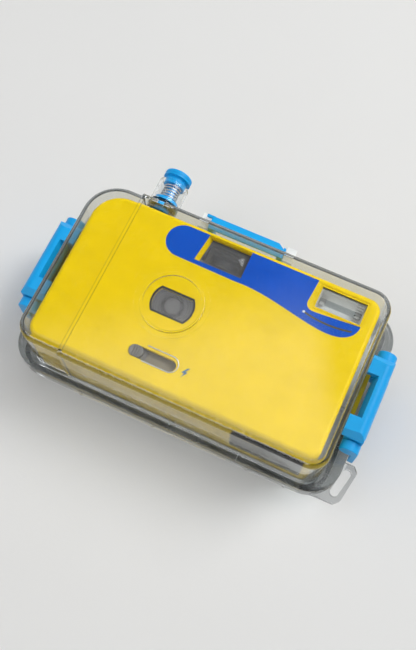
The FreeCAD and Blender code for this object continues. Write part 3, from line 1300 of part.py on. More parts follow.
def shutter_button():
    """The camera's own button, which the plunger's stem pushes."""
    top = CAM_Y + BUTTON_PROUD
    low = CAM_Y - BUTTON_DISH - CAMERA_WALL - GAP_SMALL - BUTTON_FOOT_T
    stem = cylinder(BUTTON_R, V(PLUNGER_X, low, PLUNGER_Z), Y_AXIS, top - low)
    stem = softened(stem, SOFT_EDGE, lambda e: in_plane(e, "Y", top))
    foot = cylinder(BUTTON_FOOT_R, V(PLUNGER_X, low, PLUNGER_Z), Y_AXIS, BUTTON_FOOT_T)
    return fuse([stem, foot])


# Chassis and film path


def chassis():
    """The film plate, light tunnel, lens board and the film chambers' walls."""
    plate_z = FILM_Z + FILM_T
    plate_top = plate_z + CHASSIS_T
    half_y = FILM_W / 2 + 1.5
    y0, y1 = LENS_Y - half_y, LENS_Y + half_y
    cassette_edge = CASSETTE_X - CASSETTE_R - GAP_MOVE
    spool_edge = SPOOL_X + SPOOL_FLANGE_R + GAP_MOVE
    plate = box(spool_edge, cassette_edge, y0, y1, plate_z, plate_top)
    outer = [rounded_wire(GATE_W / 2 + CHASSIS_T, GATE_H / 2 + CHASSIS_T, same_corners(0.6),
                          plate_top - EPS, (LENS_X, LENS_Y)),
             rounded_wire(TUNNEL_FRONT / 2 + CHASSIS_T, TUNNEL_FRONT / 2 + CHASSIS_T, same_corners(0.6),
                          BOARD_Z + EPS,
                          (LENS_X, LENS_Y))]
    inner = [rounded_wire(GATE_W / 2, GATE_H / 2, same_corners(0.5), plate_z - OVER, (LENS_X, LENS_Y)),
             rounded_wire(TUNNEL_FRONT / 2, TUNNEL_FRONT / 2, same_corners(0.5), BOARD_Z, (LENS_X, LENS_Y))]
    tunnel = Part.makeLoft(outer, True, True)
    light = Part.makeLoft(inner, True, True)
    lens_board = box(LENS_X - HOUSING_HALF_W - OVER, LENS_X + HOUSING_HALF_W + OVER,
                     LENS_Y - HOUSING_HALF_H - OVER,
                     LENS_Y + HOUSING_HALF_H + OVER, BOARD_Z, BOARD_Z + BOARD_T)
    spool_wall = half_chamber(SPOOL_X, SPOOL_Z, SPOOL_FLANGE_R + GAP_MOVE, CHAMBER_WALL, y0, y1)
    can_wall = half_chamber(CASSETTE_X, CASSETTE_Z, CASSETTE_R + GAP_MOVE, CHAMBER_WALL,
                            LENS_Y - CASSETTE_L / 2,
                            LENS_Y + CASSETTE_L / 2)
    can_side = box(cassette_edge - CHAMBER_WALL, cassette_edge, y0, y1, plate_z, CASSETTE_Z)
    spool_side = box(spool_edge, spool_edge + CHAMBER_WALL, y0, SPROCKET_Y - OVER, plate_z, SPOOL_Z)
    rails = [box(spool_edge, cassette_edge, y, y + CHASSIS_T, plate_z, plate_top + CHASSIS_RAIL)
             for y in (y0, y1 - CHASSIS_T)]
    body = fuse([plate, tunnel, lens_board, spool_wall, can_wall, can_side, spool_side] + rails)
    hole = cylinder(BLADE_HOLE_R, V(LENS_X, LENS_Y, BOARD_Z - OVER), Z_AXIS, BOARD_T + 2 * OVER)
    pin = cylinder(BLADE_PIN_R + GAP_SHAFT, V(LENS_X + BLADE_PIVOT_DX, LENS_Y + BLADE_PIVOT_DY,
                                              BOARD_Z - OVER), Z_AXIS,
                   BOARD_T + 2 * OVER)
    sprocket_room = cylinder(SPROCKET_R + SPROCKET_TOOTH + GAP_MOVE,
                             V(SPROCKET_X, SPROCKET_Y - GAP_MOVE, SPROCKET_Z),
                             Y_AXIS, SPROCKET_W + 2 * GAP_MOVE)
    bearing = cylinder(SPROCKET_SHAFT_R + GAP_SHAFT, V(SPROCKET_X, SPROCKET_Y, SPROCKET_Z), Y_AXIS, FILM_W)
    return cut(body, [light, hole, pin, sprocket_room, bearing])


def half_chamber(x, z, radius, wall, y0, y1):
    """The front half of a round chamber wall."""
    tube = ring(radius + wall, radius, V(x, y0, z), Y_AXIS, y1 - y0)
    return tube.common(box(x - 2 * radius, x + 2 * radius, y0, y1, z, z + 2 * radius))


SPROCKET_Y = LENS_Y + FILM_W / 2 - PERF_EDGE - PERF_H / 2 - SPROCKET_W / 2


def film_cassette():
    """The film can with its light-trap lip and spool hub."""
    y0 = LENS_Y - CASSETTE_L / 2
    can = cylinder(CASSETTE_R, V(CASSETTE_X, y0, CASSETTE_Z), Y_AXIS, CASSETTE_L)
    lip_y = FILM_W / 2 + 0.5
    lip_x = CASSETTE_X - CASSETTE_R + CASSETTE_LIP_OUT
    lip = box(lip_x - CASSETTE_LIP_OUT, CASSETTE_X, LENS_Y - lip_y, LENS_Y + lip_y, FILM_Z - 0.5,
              FILM_Z + CASSETTE_LIP)
    hub = cylinder(HUB_R, V(CASSETTE_X, y0 - HUB_L, CASSETTE_Z), Y_AXIS, HUB_L)
    core = cylinder(HUB_R * 0.6, V(CASSETTE_X, y0 - HUB_L - OVER, CASSETTE_Z), Y_AXIS, REWIND_FORK_L)
    slit = box(lip_x - CASSETTE_LIP_OUT - OVER, CASSETTE_X, LENS_Y - FILM_W / 2 - GAP_SMALL,
               LENS_Y + FILM_W / 2 + GAP_SMALL, FILM_Z, FILM_Z + FILM_T)
    return cut(fuse([can, lip, hub]), [core, slit])


def film():
    """The film from the cassette to the coil on the take-up spool."""
    half = FILM_W / 2
    strip = box(SPOOL_X, CASSETTE_X - CASSETTE_R / 2, LENS_Y - half, LENS_Y + half, FILM_Z, FILM_Z + FILM_T)
    coil = ring(SPOOL_COIL_R, SPOOL_CORE_R + GAP_MOVE, V(SPOOL_X, LENS_Y - half, SPOOL_Z), Y_AXIS, FILM_W)
    holes = []
    first = LENS_X - (PERF_COUNT - 1) / 2 * PERF_PITCH
    for i in range(PERF_COUNT):
        x = first + i * PERF_PITCH
        for side in (-1, 1):
            y = LENS_Y + side * (half - PERF_EDGE - PERF_H / 2)
            holes.append(box(x - PERF_W / 2, x + PERF_W / 2, y - PERF_H / 2, y + PERF_H / 2, FILM_Z - OVER,
                             FILM_Z + OVER))
    return fuse([strip.cut(group(holes)), coil])


def takeup_spool():
    """The spool that the film winds on, with its shaft up to the thumbwheel."""
    half = FILM_W / 2 + GAP_MOVE
    y0 = LENS_Y - half
    core = cylinder(SPOOL_CORE_R, V(SPOOL_X, y0 - SPOOL_FLANGE_T, SPOOL_Z), Y_AXIS,
                    2 * (half + SPOOL_FLANGE_T))
    flanges = [cylinder(SPOOL_FLANGE_R, V(SPOOL_X, y, SPOOL_Z), Y_AXIS, SPOOL_FLANGE_T)
               for y in (y0 - SPOOL_FLANGE_T, LENS_Y + half)]
    shaft = cylinder(SPOOL_SHAFT_R, V(SPOOL_X, LENS_Y + half, SPOOL_Z), Y_AXIS,
                     THUMBWHEEL_Y - LENS_Y - half)
    return fuse([core, shaft] + flanges)


def thumbwheel():
    """The knurled wheel over the take-up spool."""
    base = V(SPOOL_X, THUMBWHEEL_Y, SPOOL_Z)
    wheel = cylinder(THUMBWHEEL_R, base, Y_AXIS, THUMBWHEEL_T)
    notches = []
    for i in range(KNURL_COUNT):
        a = 2 * math.pi * (i + 0.5) / KNURL_COUNT
        notches.append(cylinder(KNURL_R, base + V(math.cos(a), 0, math.sin(a)) * THUMBWHEEL_R - Y_AXIS
                                * OVER, Y_AXIS,
                                THUMBWHEEL_T + 2 * OVER))
    return wheel.cut(group(notches))


def sprocket():
    """The toothed wheel that the film's holes turn, with its shaft to the frame counter."""
    base = V(SPROCKET_X, SPROCKET_Y, SPROCKET_Z)
    wheel = cylinder(SPROCKET_R, base, Y_AXIS, SPROCKET_W)
    teeth = []
    for i in range(SPROCKET_TEETH):
        tooth = box(-0.5, 0.5, SPROCKET_W / 2 - 0.6, SPROCKET_W / 2 + 0.6, 0, SPROCKET_R + SPROCKET_TOOTH)
        tooth.rotate(V(0, 0, 0), Y_AXIS, 360.0 * i / SPROCKET_TEETH)
        tooth.translate(base)
        teeth.append(tooth)
    shaft = cylinder(SPROCKET_SHAFT_R, base, Y_AXIS, CAM_Y - CAMERA_WALL - GAP_MOVE - SPROCKET_Y)
    return fuse([wheel, shaft] + teeth)


def counter_dial():
    """The frame counter's disc under its round window in the top wall."""
    low = V(DIAL_X, CAM_Y - CAMERA_WALL - GAP_MOVE - DIAL_T, DIAL_Z)
    disc = cylinder(DIAL_R, low, Y_AXIS, DIAL_T)
    marks = []
    for i in range(DIAL_MARKS):
        mark = box(-DIAL_MARK_W / 2, DIAL_MARK_W / 2, DIAL_T - DIAL_MARK_DEEP, DIAL_T + OVER, DIAL_R * 0.7,
                   DIAL_R * 0.92)
        mark.rotate(V(0, 0, 0), Y_AXIS, 360.0 * i / DIAL_MARKS)
        mark.translate(low)
        marks.append(mark)
    post = cylinder(DIAL_POST_R, low - Y_AXIS * DIAL_POST_L, Y_AXIS, DIAL_POST_L)
    return fuse([disc.cut(group(marks)), post])


def pressure_plate():
    """The plate that holds the film flat, on two pads against the door."""
    half_x = GATE_W / 2 + 3.0
    half_y = FILM_W / 2
    top = FILM_Z
    plate = box(LENS_X - half_x, LENS_X + half_x, LENS_Y - half_y, LENS_Y + half_y, top - PRESSURE_T, top)
    floor = CAMERA_BACK_Z + BACK_WALL
    pads = [box(x - 3, x + 3, LENS_Y - 5, LENS_Y + 5, floor, top - PRESSURE_T)
            for x in (LENS_X - half_x / 2, LENS_X + half_x / 2)]
    return fuse([plate] + pads)


def rewind_knob():
    """The rewind knob in the bottom plate, with a fork in the cassette's hub."""
    low = V(CASSETTE_X, -CAM_Y + GAP_SMALL, CASSETTE_Z)
    disc = cylinder(REWIND_R, low, Y_AXIS, REWIND_T)
    slot = box(CASSETTE_X - REWIND_R * 0.7, CASSETTE_X + REWIND_R * 0.7, low.y - EPS,
               low.y + REWIND_T * 0.5,
               CASSETTE_Z - 0.8, CASSETTE_Z + 0.8)
    hub_low = LENS_Y - CASSETTE_L / 2 - HUB_L
    shaft = cylinder(HUB_R * 0.5, low, Y_AXIS, hub_low + REWIND_BITE - low.y)
    return fuse([disc.cut(slot), shaft])


# Flash, battery and electronics


def flash_window():
    """The flash's clear window, ribbed at its right end."""
    top = CAMERA_FACE_Z - GAP_SMALL
    low = top - FLASH_WINDOW_T
    plate = box(FLASH_X0, FLASH_X1, FLASH_Y0, FLASH_Y1, low, top)
    pitch = 1.1
    grooves = []
    for i in range(FLASH_WINDOW_RIBS):
        x = FLASH_X1 - 0.8 - i * pitch
        grooves.append(box(x - 0.25, x + 0.25, FLASH_Y0 - OVER, FLASH_Y1 + OVER, top - 0.3, top + OVER))
    return cut(plate, grooves)


def flash_reflector():
    """A polished trough, open to the window."""
    top = CAMERA_FACE_Z - GAP_SMALL - FLASH_WINDOW_T
    mid = (FLASH_Y0 + FLASH_Y1) / 2
    half = (FLASH_Y1 - FLASH_Y0) / 2
    body = box(FLASH_X0, FLASH_X1, FLASH_Y0, FLASH_Y1, top - REFLECTOR_DEEP, top)
    inner_half = half - REFLECTOR_WALL
    deep = REFLECTOR_DEEP - REFLECTOR_WALL
    arc = Part.Arc(V(0, mid - inner_half, top), V(0, mid, top - deep),
                   V(0, mid + inner_half, top)).toShape()
    lid = Part.LineSegment(V(0, mid + inner_half, top), V(0, mid - inner_half, top)).toShape()
    trough = Part.Face(Part.Wire([arc, lid])).extrude(V(FLASH_X1 - FLASH_X0 - 2 * REFLECTOR_WALL, 0, 0))
    trough.translate(V(FLASH_X0 + REFLECTOR_WALL, 0, 0))
    ends = cylinder(TUBE_R, V(FLASH_X0 - OVER, mid, top - REFLECTOR_DEEP / 2), X_AXIS,
                    FLASH_X1 - FLASH_X0 + 2 * OVER)
    return cut(body, [trough, ends])


def flash_tube():
    mid = (FLASH_Y0 + FLASH_Y1) / 2
    z = CAMERA_FACE_Z - GAP_SMALL - FLASH_WINDOW_T - REFLECTOR_DEEP / 2
    return cylinder(TUBE_R, V(FLASH_X0, mid, z), X_AXIS, FLASH_X1 - FLASH_X0)


def flash_board():
    """The flash circuit board with its transformer and two smaller parts."""
    board = box(BOARD_X0, BOARD_X1, BOARD_Y0, BOARD_Y1, CIRCUIT_Z, CIRCUIT_Z + CIRCUIT_T)
    top = CIRCUIT_Z + CIRCUIT_T
    mounted = [box(BOARD_X0 + x, BOARD_X0 + x + wide, BOARD_Y0 + y, BOARD_Y0 + y + deep, top, top + high)
               for x, y, wide, deep, high in BOARD_PARTS]
    notch = cylinder(SCREW_POST_R + GAP_MOVE, V(SCREW_POSITIONS[2][0], SCREW_POSITIONS[2][1],
                                                CIRCUIT_Z - OVER), Z_AXIS,
                     CIRCUIT_T + 2 * OVER)
    return cut(fuse([board] + mounted), [notch])


def flash_capacitor():
    low = V(CAPACITOR_X, CAPACITOR_Y - CAPACITOR_L / 2, CIRCUIT_Z - GAP_SEAT - CAPACITOR_R)
    can = cylinder(CAPACITOR_R, low, Y_AXIS, CAPACITOR_L)
    groove = ring(CAPACITOR_R + OVER, CAPACITOR_R - 0.3, low + Y_AXIS * 3.0, Y_AXIS, 1.0)
    return can.cut(groove)


def flash_switch():
    """The slider: a round-ended knob through the slot, on a foot under the cover."""
    x1 = SWITCH_X0 + SWITCH_KNOB_L
    half = SWITCH_HALF_H - GAP_SMALL
    foot_top = COVER_IN_Z - GAP_SMALL
    knob_top = CAMERA_FACE_Z + SWITCH_PROUD
    knob = pill(SWITCH_X0 + GAP_SMALL, x1, SWITCH_Y, half, foot_top - SWITCH_FOOT_T, knob_top)
    knob = rounded_at(knob, knob_top, SOFT_EDGE)
    foot = box(SWITCH_X0 - SWITCH_FOOT, x1 + SWITCH_FOOT, SWITCH_Y - half - SWITCH_FOOT,
               SWITCH_Y + half + SWITCH_FOOT,
               foot_top - SWITCH_FOOT_T, foot_top)
    slits = []
    for i in range(3):
        x = SWITCH_X0 + SWITCH_KNOB_L * (0.35 + 0.18 * i)
        slits.append(box(x - SWITCH_SLIT / 2, x + SWITCH_SLIT / 2, SWITCH_Y - half, SWITCH_Y + half,
                         knob_top - SWITCH_SLIT, knob_top + OVER))
    return cut(fuse([knob, foot]), slits)


def switch_guide():
    """The dark plate that is the floor under the switch's slot."""
    top = COVER_IN_Z - GAP_SMALL - SWITCH_FOOT_T - GAP_SMALL
    reach = SWITCH_HALF_H + SWITCH_FOOT + OVER
    floor = box(SWITCH_X0 - 2 * OVER, SWITCH_X1 + 2 * OVER, SWITCH_Y - reach, SWITCH_Y + reach,
                top - SWITCH_GUIDE_T, top)
    rails = [box(SWITCH_X0 - 2 * OVER, SWITCH_X1 + 2 * OVER, y, y + 0.8, top, COVER_IN_Z)
             for y in (SWITCH_Y - reach, SWITCH_Y + reach - 0.8)]
    return fuse([floor] + rails)


def flash_mark():
    """A plain lightning bolt on the cover's face."""
    h = BOLT_H
    points = [(0.14, 0.5), (-0.26, -0.05), (0.0, -0.05), (-0.14, -0.5), (0.28, 0.12), (0.04, 0.12),
              (0.32, 0.5)]
    return prism(polygon([(BOLT_X + x * h, BOLT_Y + y * h) for x, y in points], CAMERA_FACE_Z), BOLT_T)


def battery():
    y0 = -CAM_Y + CAMERA_WALL + 2 * CONTACT_T
    cell = cylinder(BATTERY_R, V(BATTERY_X, y0, BATTERY_Z), Y_AXIS, BATTERY_L)
    tip = cylinder(BATTERY_TIP_R, V(BATTERY_X, y0 + BATTERY_L, BATTERY_Z), Y_AXIS, BATTERY_TIP_L)
    return fuse([cell, tip])


def battery_contacts():
    """The spring plates at both ends of the battery."""
    y0 = -CAM_Y + CAMERA_WALL + 2 * CONTACT_T
    top = y0 + BATTERY_L + BATTERY_TIP_L
    plates = [box(BATTERY_X - CONTACT_HALF, BATTERY_X + CONTACT_HALF, low, high, BATTERY_Z - CONTACT_HALF,
                  BATTERY_Z + CONTACT_HALF) for low, high in ((y0 - 2 * CONTACT_T, y0),
                                                              (top, top + CONTACT_T))]
    return group(plates)


def viewfinder_centre():
    xs = (FINDER_WINDOW[0][0] + FINDER_WINDOW[1][0]) / 2
    ys = (FINDER_WINDOW[0][1] + FINDER_WINDOW[2][1]) / 2
    return xs, ys


def viewfinder_lens():
    """The viewfinder's domed front glass at the foot of the recess."""
    foot = CAMERA_FACE_Z - FINDER_RECESS - FINDER_GLASS_T
    top = foot + FINDER_GLASS_T + FINDER_GLASS_BULGE
    dome = Part.makeSphere(FINDER_GLASS_R, V(*viewfinder_centre(), top - FINDER_GLASS_R))
    return finder_opening(CAMERA_WALL + GAP_SMALL / 2, foot, top).common(dome)


def viewfinder_eyepiece():
    cx, cy = viewfinder_centre()
    return box(cx - EYEPIECE_W / 2, cx + EYEPIECE_W / 2, cy - EYEPIECE_H / 2, cy + EYEPIECE_H / 2,
               CAMERA_BACK_Z + 0.5,
               CAMERA_BACK_Z + BACK_WALL)


def viewfinder_tunnel():
    """The dark tapering tunnel between the viewfinder's two glasses."""
    cx, cy = viewfinder_centre()
    z0 = CAMERA_BACK_Z + BACK_WALL
    z1 = CAMERA_FACE_Z - FINDER_RECESS - CAMERA_WALL / 2
    wide = 7.4
    high = 4.2
    sizes = [(EYEPIECE_W / 2, EYEPIECE_H / 2, z0), (wide, high, z1)]
    outer = [rounded_wire(hx + TUNNEL_WALL, hy + TUNNEL_WALL, same_corners(0.6), z, (cx, cy)) for hx, hy,
             z in sizes]
    inner = [rounded_wire(hx, hy, same_corners(0.5), z, (cx, cy)) for hx, hy, z in sizes]
    return Part.makeLoft(outer, True, True).cut(Part.makeLoft(inner, True, True))


def case_screws():
    screws = []
    for x, y in SCREW_POSITIONS:
        head = cylinder(SCREW_HEAD_R, V(x, y, CAMERA_BACK_Z + SCREW_HEAD_T * 0.1), Z_AXIS,
                        SCREW_HEAD_T * 0.9)
        shank = cylinder(SCREW_R, V(x, y, CAMERA_BACK_Z + SCREW_HEAD_T * 0.5), Z_AXIS,
                         COVER_PARTING_Z + SCREW_L - CAMERA_BACK_Z - SCREW_HEAD_T)
        slot = box(x - SCREW_HEAD_R, x + SCREW_HEAD_R, y - 0.3, y + 0.3, CAMERA_BACK_Z, CAMERA_BACK_Z + 0.4)
        screws.append(fuse([head, shank]).cut(slot))
    return group(screws)


PIECES = {
    "front_shell": front_shell,
    "latch_catch_right": latch_catch,
    "latch_catch_left": lambda: mirrored(latch_catch()),
    "rear_shell": rear_shell,
    "shell_gasket": shell_gasket,
    "latch_lever_right": latch_lever,
    "latch_lever_left": lambda: mirrored(latch_lever()),
    "latch_hook_right": latch_hook,
    "latch_hook_left": lambda: mirrored(latch_hook()),
    "hook_pin_right": hook_pin,
    "hook_pin_left": lambda: mirrored(hook_pin()),
    "lever_pins": lever_pins,
    "finder_frame": finder_frame,
    "finder_pins": finder_pins,
    "plunger_cap": plunger_cap,
    "plunger_stem": plunger_stem,
    "plunger_spring": plunger_spring,
    "plunger_washer": plunger_washer,
    "stem_seal": stem_seal,
    "stem_clip": stem_clip,
    "advance_knob": advance_knob,
    "advance_seal": advance_seal,
    "advance_roller": advance_roller,
    "front_cover": front_cover,
    "front_panel": front_panel,
    "accent_line": accent_line,
    "camera_back": camera_back,
    "film_door": film_door,
    "film_window": film_window,
    "bottom_plate": bottom_plate,
    "battery_door": battery_door,
    "lens_window": lens_window,
    "lens_barrel": lens_barrel,
    "front_lens": front_lens,
    "rear_lens": rear_lens,
    "aperture_plate": aperture_plate,
    "shutter_housing": shutter_housing,
    "shutter_blade": shutter_blade,
    "shutter_button": shutter_button,
    "chassis": chassis,
    "film_cassette": film_cassette,
    "film": film,
    "takeup_spool": takeup_spool,
    "thumbwheel": thumbwheel,
    "sprocket": sprocket,
    "counter_dial": counter_dial,
    "pressure_plate": pressure_plate,
    "rewind_knob": rewind_knob,
    "flash_window": flash_window,
    "flash_reflector": flash_reflector,
    "flash_tube": flash_tube,
    "flash_board": flash_board,
    "flash_capacitor": flash_capacitor,
    "flash_switch": flash_switch,
    "switch_guide": switch_guide,
    "flash_mark": flash_mark,
    "battery": battery,
    "battery_contacts": battery_contacts,
    "viewfinder_lens": viewfinder_lens,
    "viewfinder_eyepiece": viewfinder_eyepiece,
    "viewfinder_tunnel": viewfinder_tunnel,
    "case_screws": case_screws,
}


def main():
    os.makedirs("parts", exist_ok=True)
    for name, make in PIECES.items():
        shape = make()
        box_now = shape.BoundBox
        print(f"{name:20s} solids {len(shape.Solids)} valid {shape.isValid()} volume {shape.Volume:9.1f} "
              f"x {box_now.XMin:6.1f} {box_now.XMax:6.1f} y {box_now.YMin:6.1f} {box_now.YMax:6.1f} "
              f"z {box_now.ZMin:5.1f} {box_now.ZMax:5.1f}")
        shape.exportStep(f"parts/{name}.step")


main()
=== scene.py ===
"""Looks of the underwater film camera: materials, fine trim, studio light and the camera view."""

import json
import math

import bmesh
import bpy
from mathutils import Matrix, Vector


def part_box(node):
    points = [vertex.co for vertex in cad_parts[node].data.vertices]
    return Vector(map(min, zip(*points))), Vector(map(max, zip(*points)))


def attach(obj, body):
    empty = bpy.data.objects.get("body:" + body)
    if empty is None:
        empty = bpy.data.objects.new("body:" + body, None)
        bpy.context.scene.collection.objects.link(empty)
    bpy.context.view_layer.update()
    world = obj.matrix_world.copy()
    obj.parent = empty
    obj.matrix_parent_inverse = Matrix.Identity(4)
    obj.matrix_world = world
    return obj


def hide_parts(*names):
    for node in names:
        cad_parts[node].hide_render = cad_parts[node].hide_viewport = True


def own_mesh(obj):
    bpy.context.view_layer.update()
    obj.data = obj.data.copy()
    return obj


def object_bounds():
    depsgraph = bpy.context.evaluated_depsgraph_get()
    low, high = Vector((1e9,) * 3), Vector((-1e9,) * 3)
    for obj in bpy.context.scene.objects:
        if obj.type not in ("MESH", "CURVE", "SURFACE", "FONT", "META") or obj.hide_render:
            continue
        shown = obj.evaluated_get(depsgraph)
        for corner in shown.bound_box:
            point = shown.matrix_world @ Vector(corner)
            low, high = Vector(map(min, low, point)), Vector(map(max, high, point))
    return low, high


MM = 0.001
MICRON = 0.000001

# View of the photograph
CAMERA_AT = (50.452, -102.755, 349.432)
CAMERA_TURN = 25.64
CAMERA_RISE = 70.09
CAMERA_ROLL = -0.82
CAMERA_LENS = 48.56
SENSOR = 36.0
CAMERA_NEAR = 0.01

# Studio
FLOOR_SIZE = 6.0
FLOOR_COLOUR = (0.80, 0.80, 0.79)
WORLD_LIGHT = 0.55
HORIZON_TONE = 0.92
OVERHEAD_SEEN = 0.15
OVERHEAD_MIRRORED = 0.03
OVERHEAD_FROM = 0.75

# Lamps: where each stands, the size of its face in metres and how bright its face is
LAMP_AIM = (0.0, 0.0, 0.03)
KEY_AT = (0.75, 0.85, 1.25)
KEY_SIZE = (0.8, 0.8)
KEY_LEVEL = 7.9
GLEAM_SIZE = (1.1, 1.1)
GLEAM_LEVEL = 3.5
FILL_AT = (-1.0, -0.5, 1.1)
FILL_SIZE = (0.9, 0.9)
FILL_LEVEL = 1.2
VEIL_AT = (-0.113, 0.170, 1.000)
VEIL_SIZE = (0.48, 0.41)
VEIL_LEVEL = 1.1
VEIL_FADE = (0.12, 0.35)
FACE_MIDDLE = 0.5
EDGE_AT = (-0.40, -1.00, 0.90)
EDGE_SIZE = (1.6, 0.7)
EDGE_LEVEL = 4.5

# Band in which most of a noise's values lie
NOISE_LOW = 0.3
NOISE_HIGH = 0.7

# Wear: how far an edge is rubbed, and the bend at which the rub starts and is full
EDGE_RADIUS = 0.45 * MM
BEND_START = 0.995
BEND_FULL = 0.80

# How strongly each clear or moulded material bends light
PLASTIC_INDEX = 1.49
HOUSING_INDEX = 1.50
WINDOW_INDEX = 1.45
GLASS_INDEX = 1.52
COATED_INDEX = 1.60

# Bounces after which light caught in a clear wall is let out, and how dark it is then
CAUGHT_AFTER = 4.5
CAUGHT_TONE = 0.70

# Frosted ears of the finder: where they lie, and how rough and how clear the frost is
FROST_X = (15.9 * MM, 20.6 * MM)
FROST_FROM_Y = 37.6 * MM
FROST_FROM_Z = 16.5 * MM
FROST_ROUGH = 0.55
FROST_CLEAR = 0.50

# Printed border of the lens window
BORDER_AT = (-13.2 * MM, -0.8 * MM)
BORDER_R = 7.9 * MM
BORDER_HALF = 4.7 * MM

# Rings of the lens, about the axis of its window: the dark one fades in and out between four radii
RING_PITCH = 0.85 * MM
LENS_RIM = (2.9 * MM, 3.4 * MM, 4.2 * MM, 4.9 * MM)

# Corner of the flange that carries the strap lug, and the darker grey painted on the lug as shade so that it
# looks as dark as the flange
LUG_CORNER_AT = (57.3 * MM, -24.0 * MM)
LUG_CORNER_R = 13.2 * MM
LUG_TOP_Y = -18.0 * MM
LUG_PAINTED_SHADE = (0.66, 0.67, 0.68)

# Fine pieces, in millimetres in the frame's own axes
SKIN = 0.02
CAMERA_FACE_Z = 42.0
FINDER_FLOOR_Z = 39.0
FINDER_FLOOR = ((-10.9, 30.9), (5.7, 30.9), (5.8, 19.7), (-12.3, 19.7))
FINDER_GLASS_EDGE = ((-10.45, 29.05), (3.65, 29.05), (3.75, 21.55), (-11.95, 21.55))
MASK_T = 0.35
MASK_STEP = 0.55
MASK_OUTER_R = 0.3
MASK_STEP_R = 0.8
MASK_INNER_R = 1.3
BAFFLE_LEVELS = (37.3, 34.5, 31.0, 27.0)
BAFFLE_HALF = (6.9, 3.9)
BAFFLE_SHRINK = (0.65, 0.30)
BAFFLE_LIP = 0.9
BAFFLE_T = 0.35
BAFFLE_OUTER_R = 0.6
BAFFLE_INNER_R = 1.2
SLOT_END_X = -1.4
SLOT_Y = -22.8
SLOT_HALF = 2.4
TRIM_START_X = -14.2
TRIM_GAP = 0.05
TRIM_W = 0.42
TRIM_T = 0.30
TRIM_UP = 0.50
TRIM_SHOULDER = 0.7
PILL_STEPS = 24
DOT_AT = (32.6, 17.3)
DOT_R = 0.50
DOT_T = 0.14
DOT_PROFILE = ((1.0, 0.0), (1.0, 0.4), (0.9, 0.8), (0.5, 1.0), (0.02, 1.0))
TUBE_CAP_L = 1.9
TUBE_CAP_T = 0.16
TUBE_CAP_IN = 1.05
TUBE_CAP_LIP = 0.03
TUBE_CAP_BEVEL = 0.2
TUBE_CAP_SIDES = 24
RIB_START_X = 50.2
RIB_COUNT = 7
RIB_W = 0.42
RIB_L = 2.6
RIB_H = 0.8 * RIB_W
RIB_MARGIN = 0.3
RIB_SLOPE = 0.15


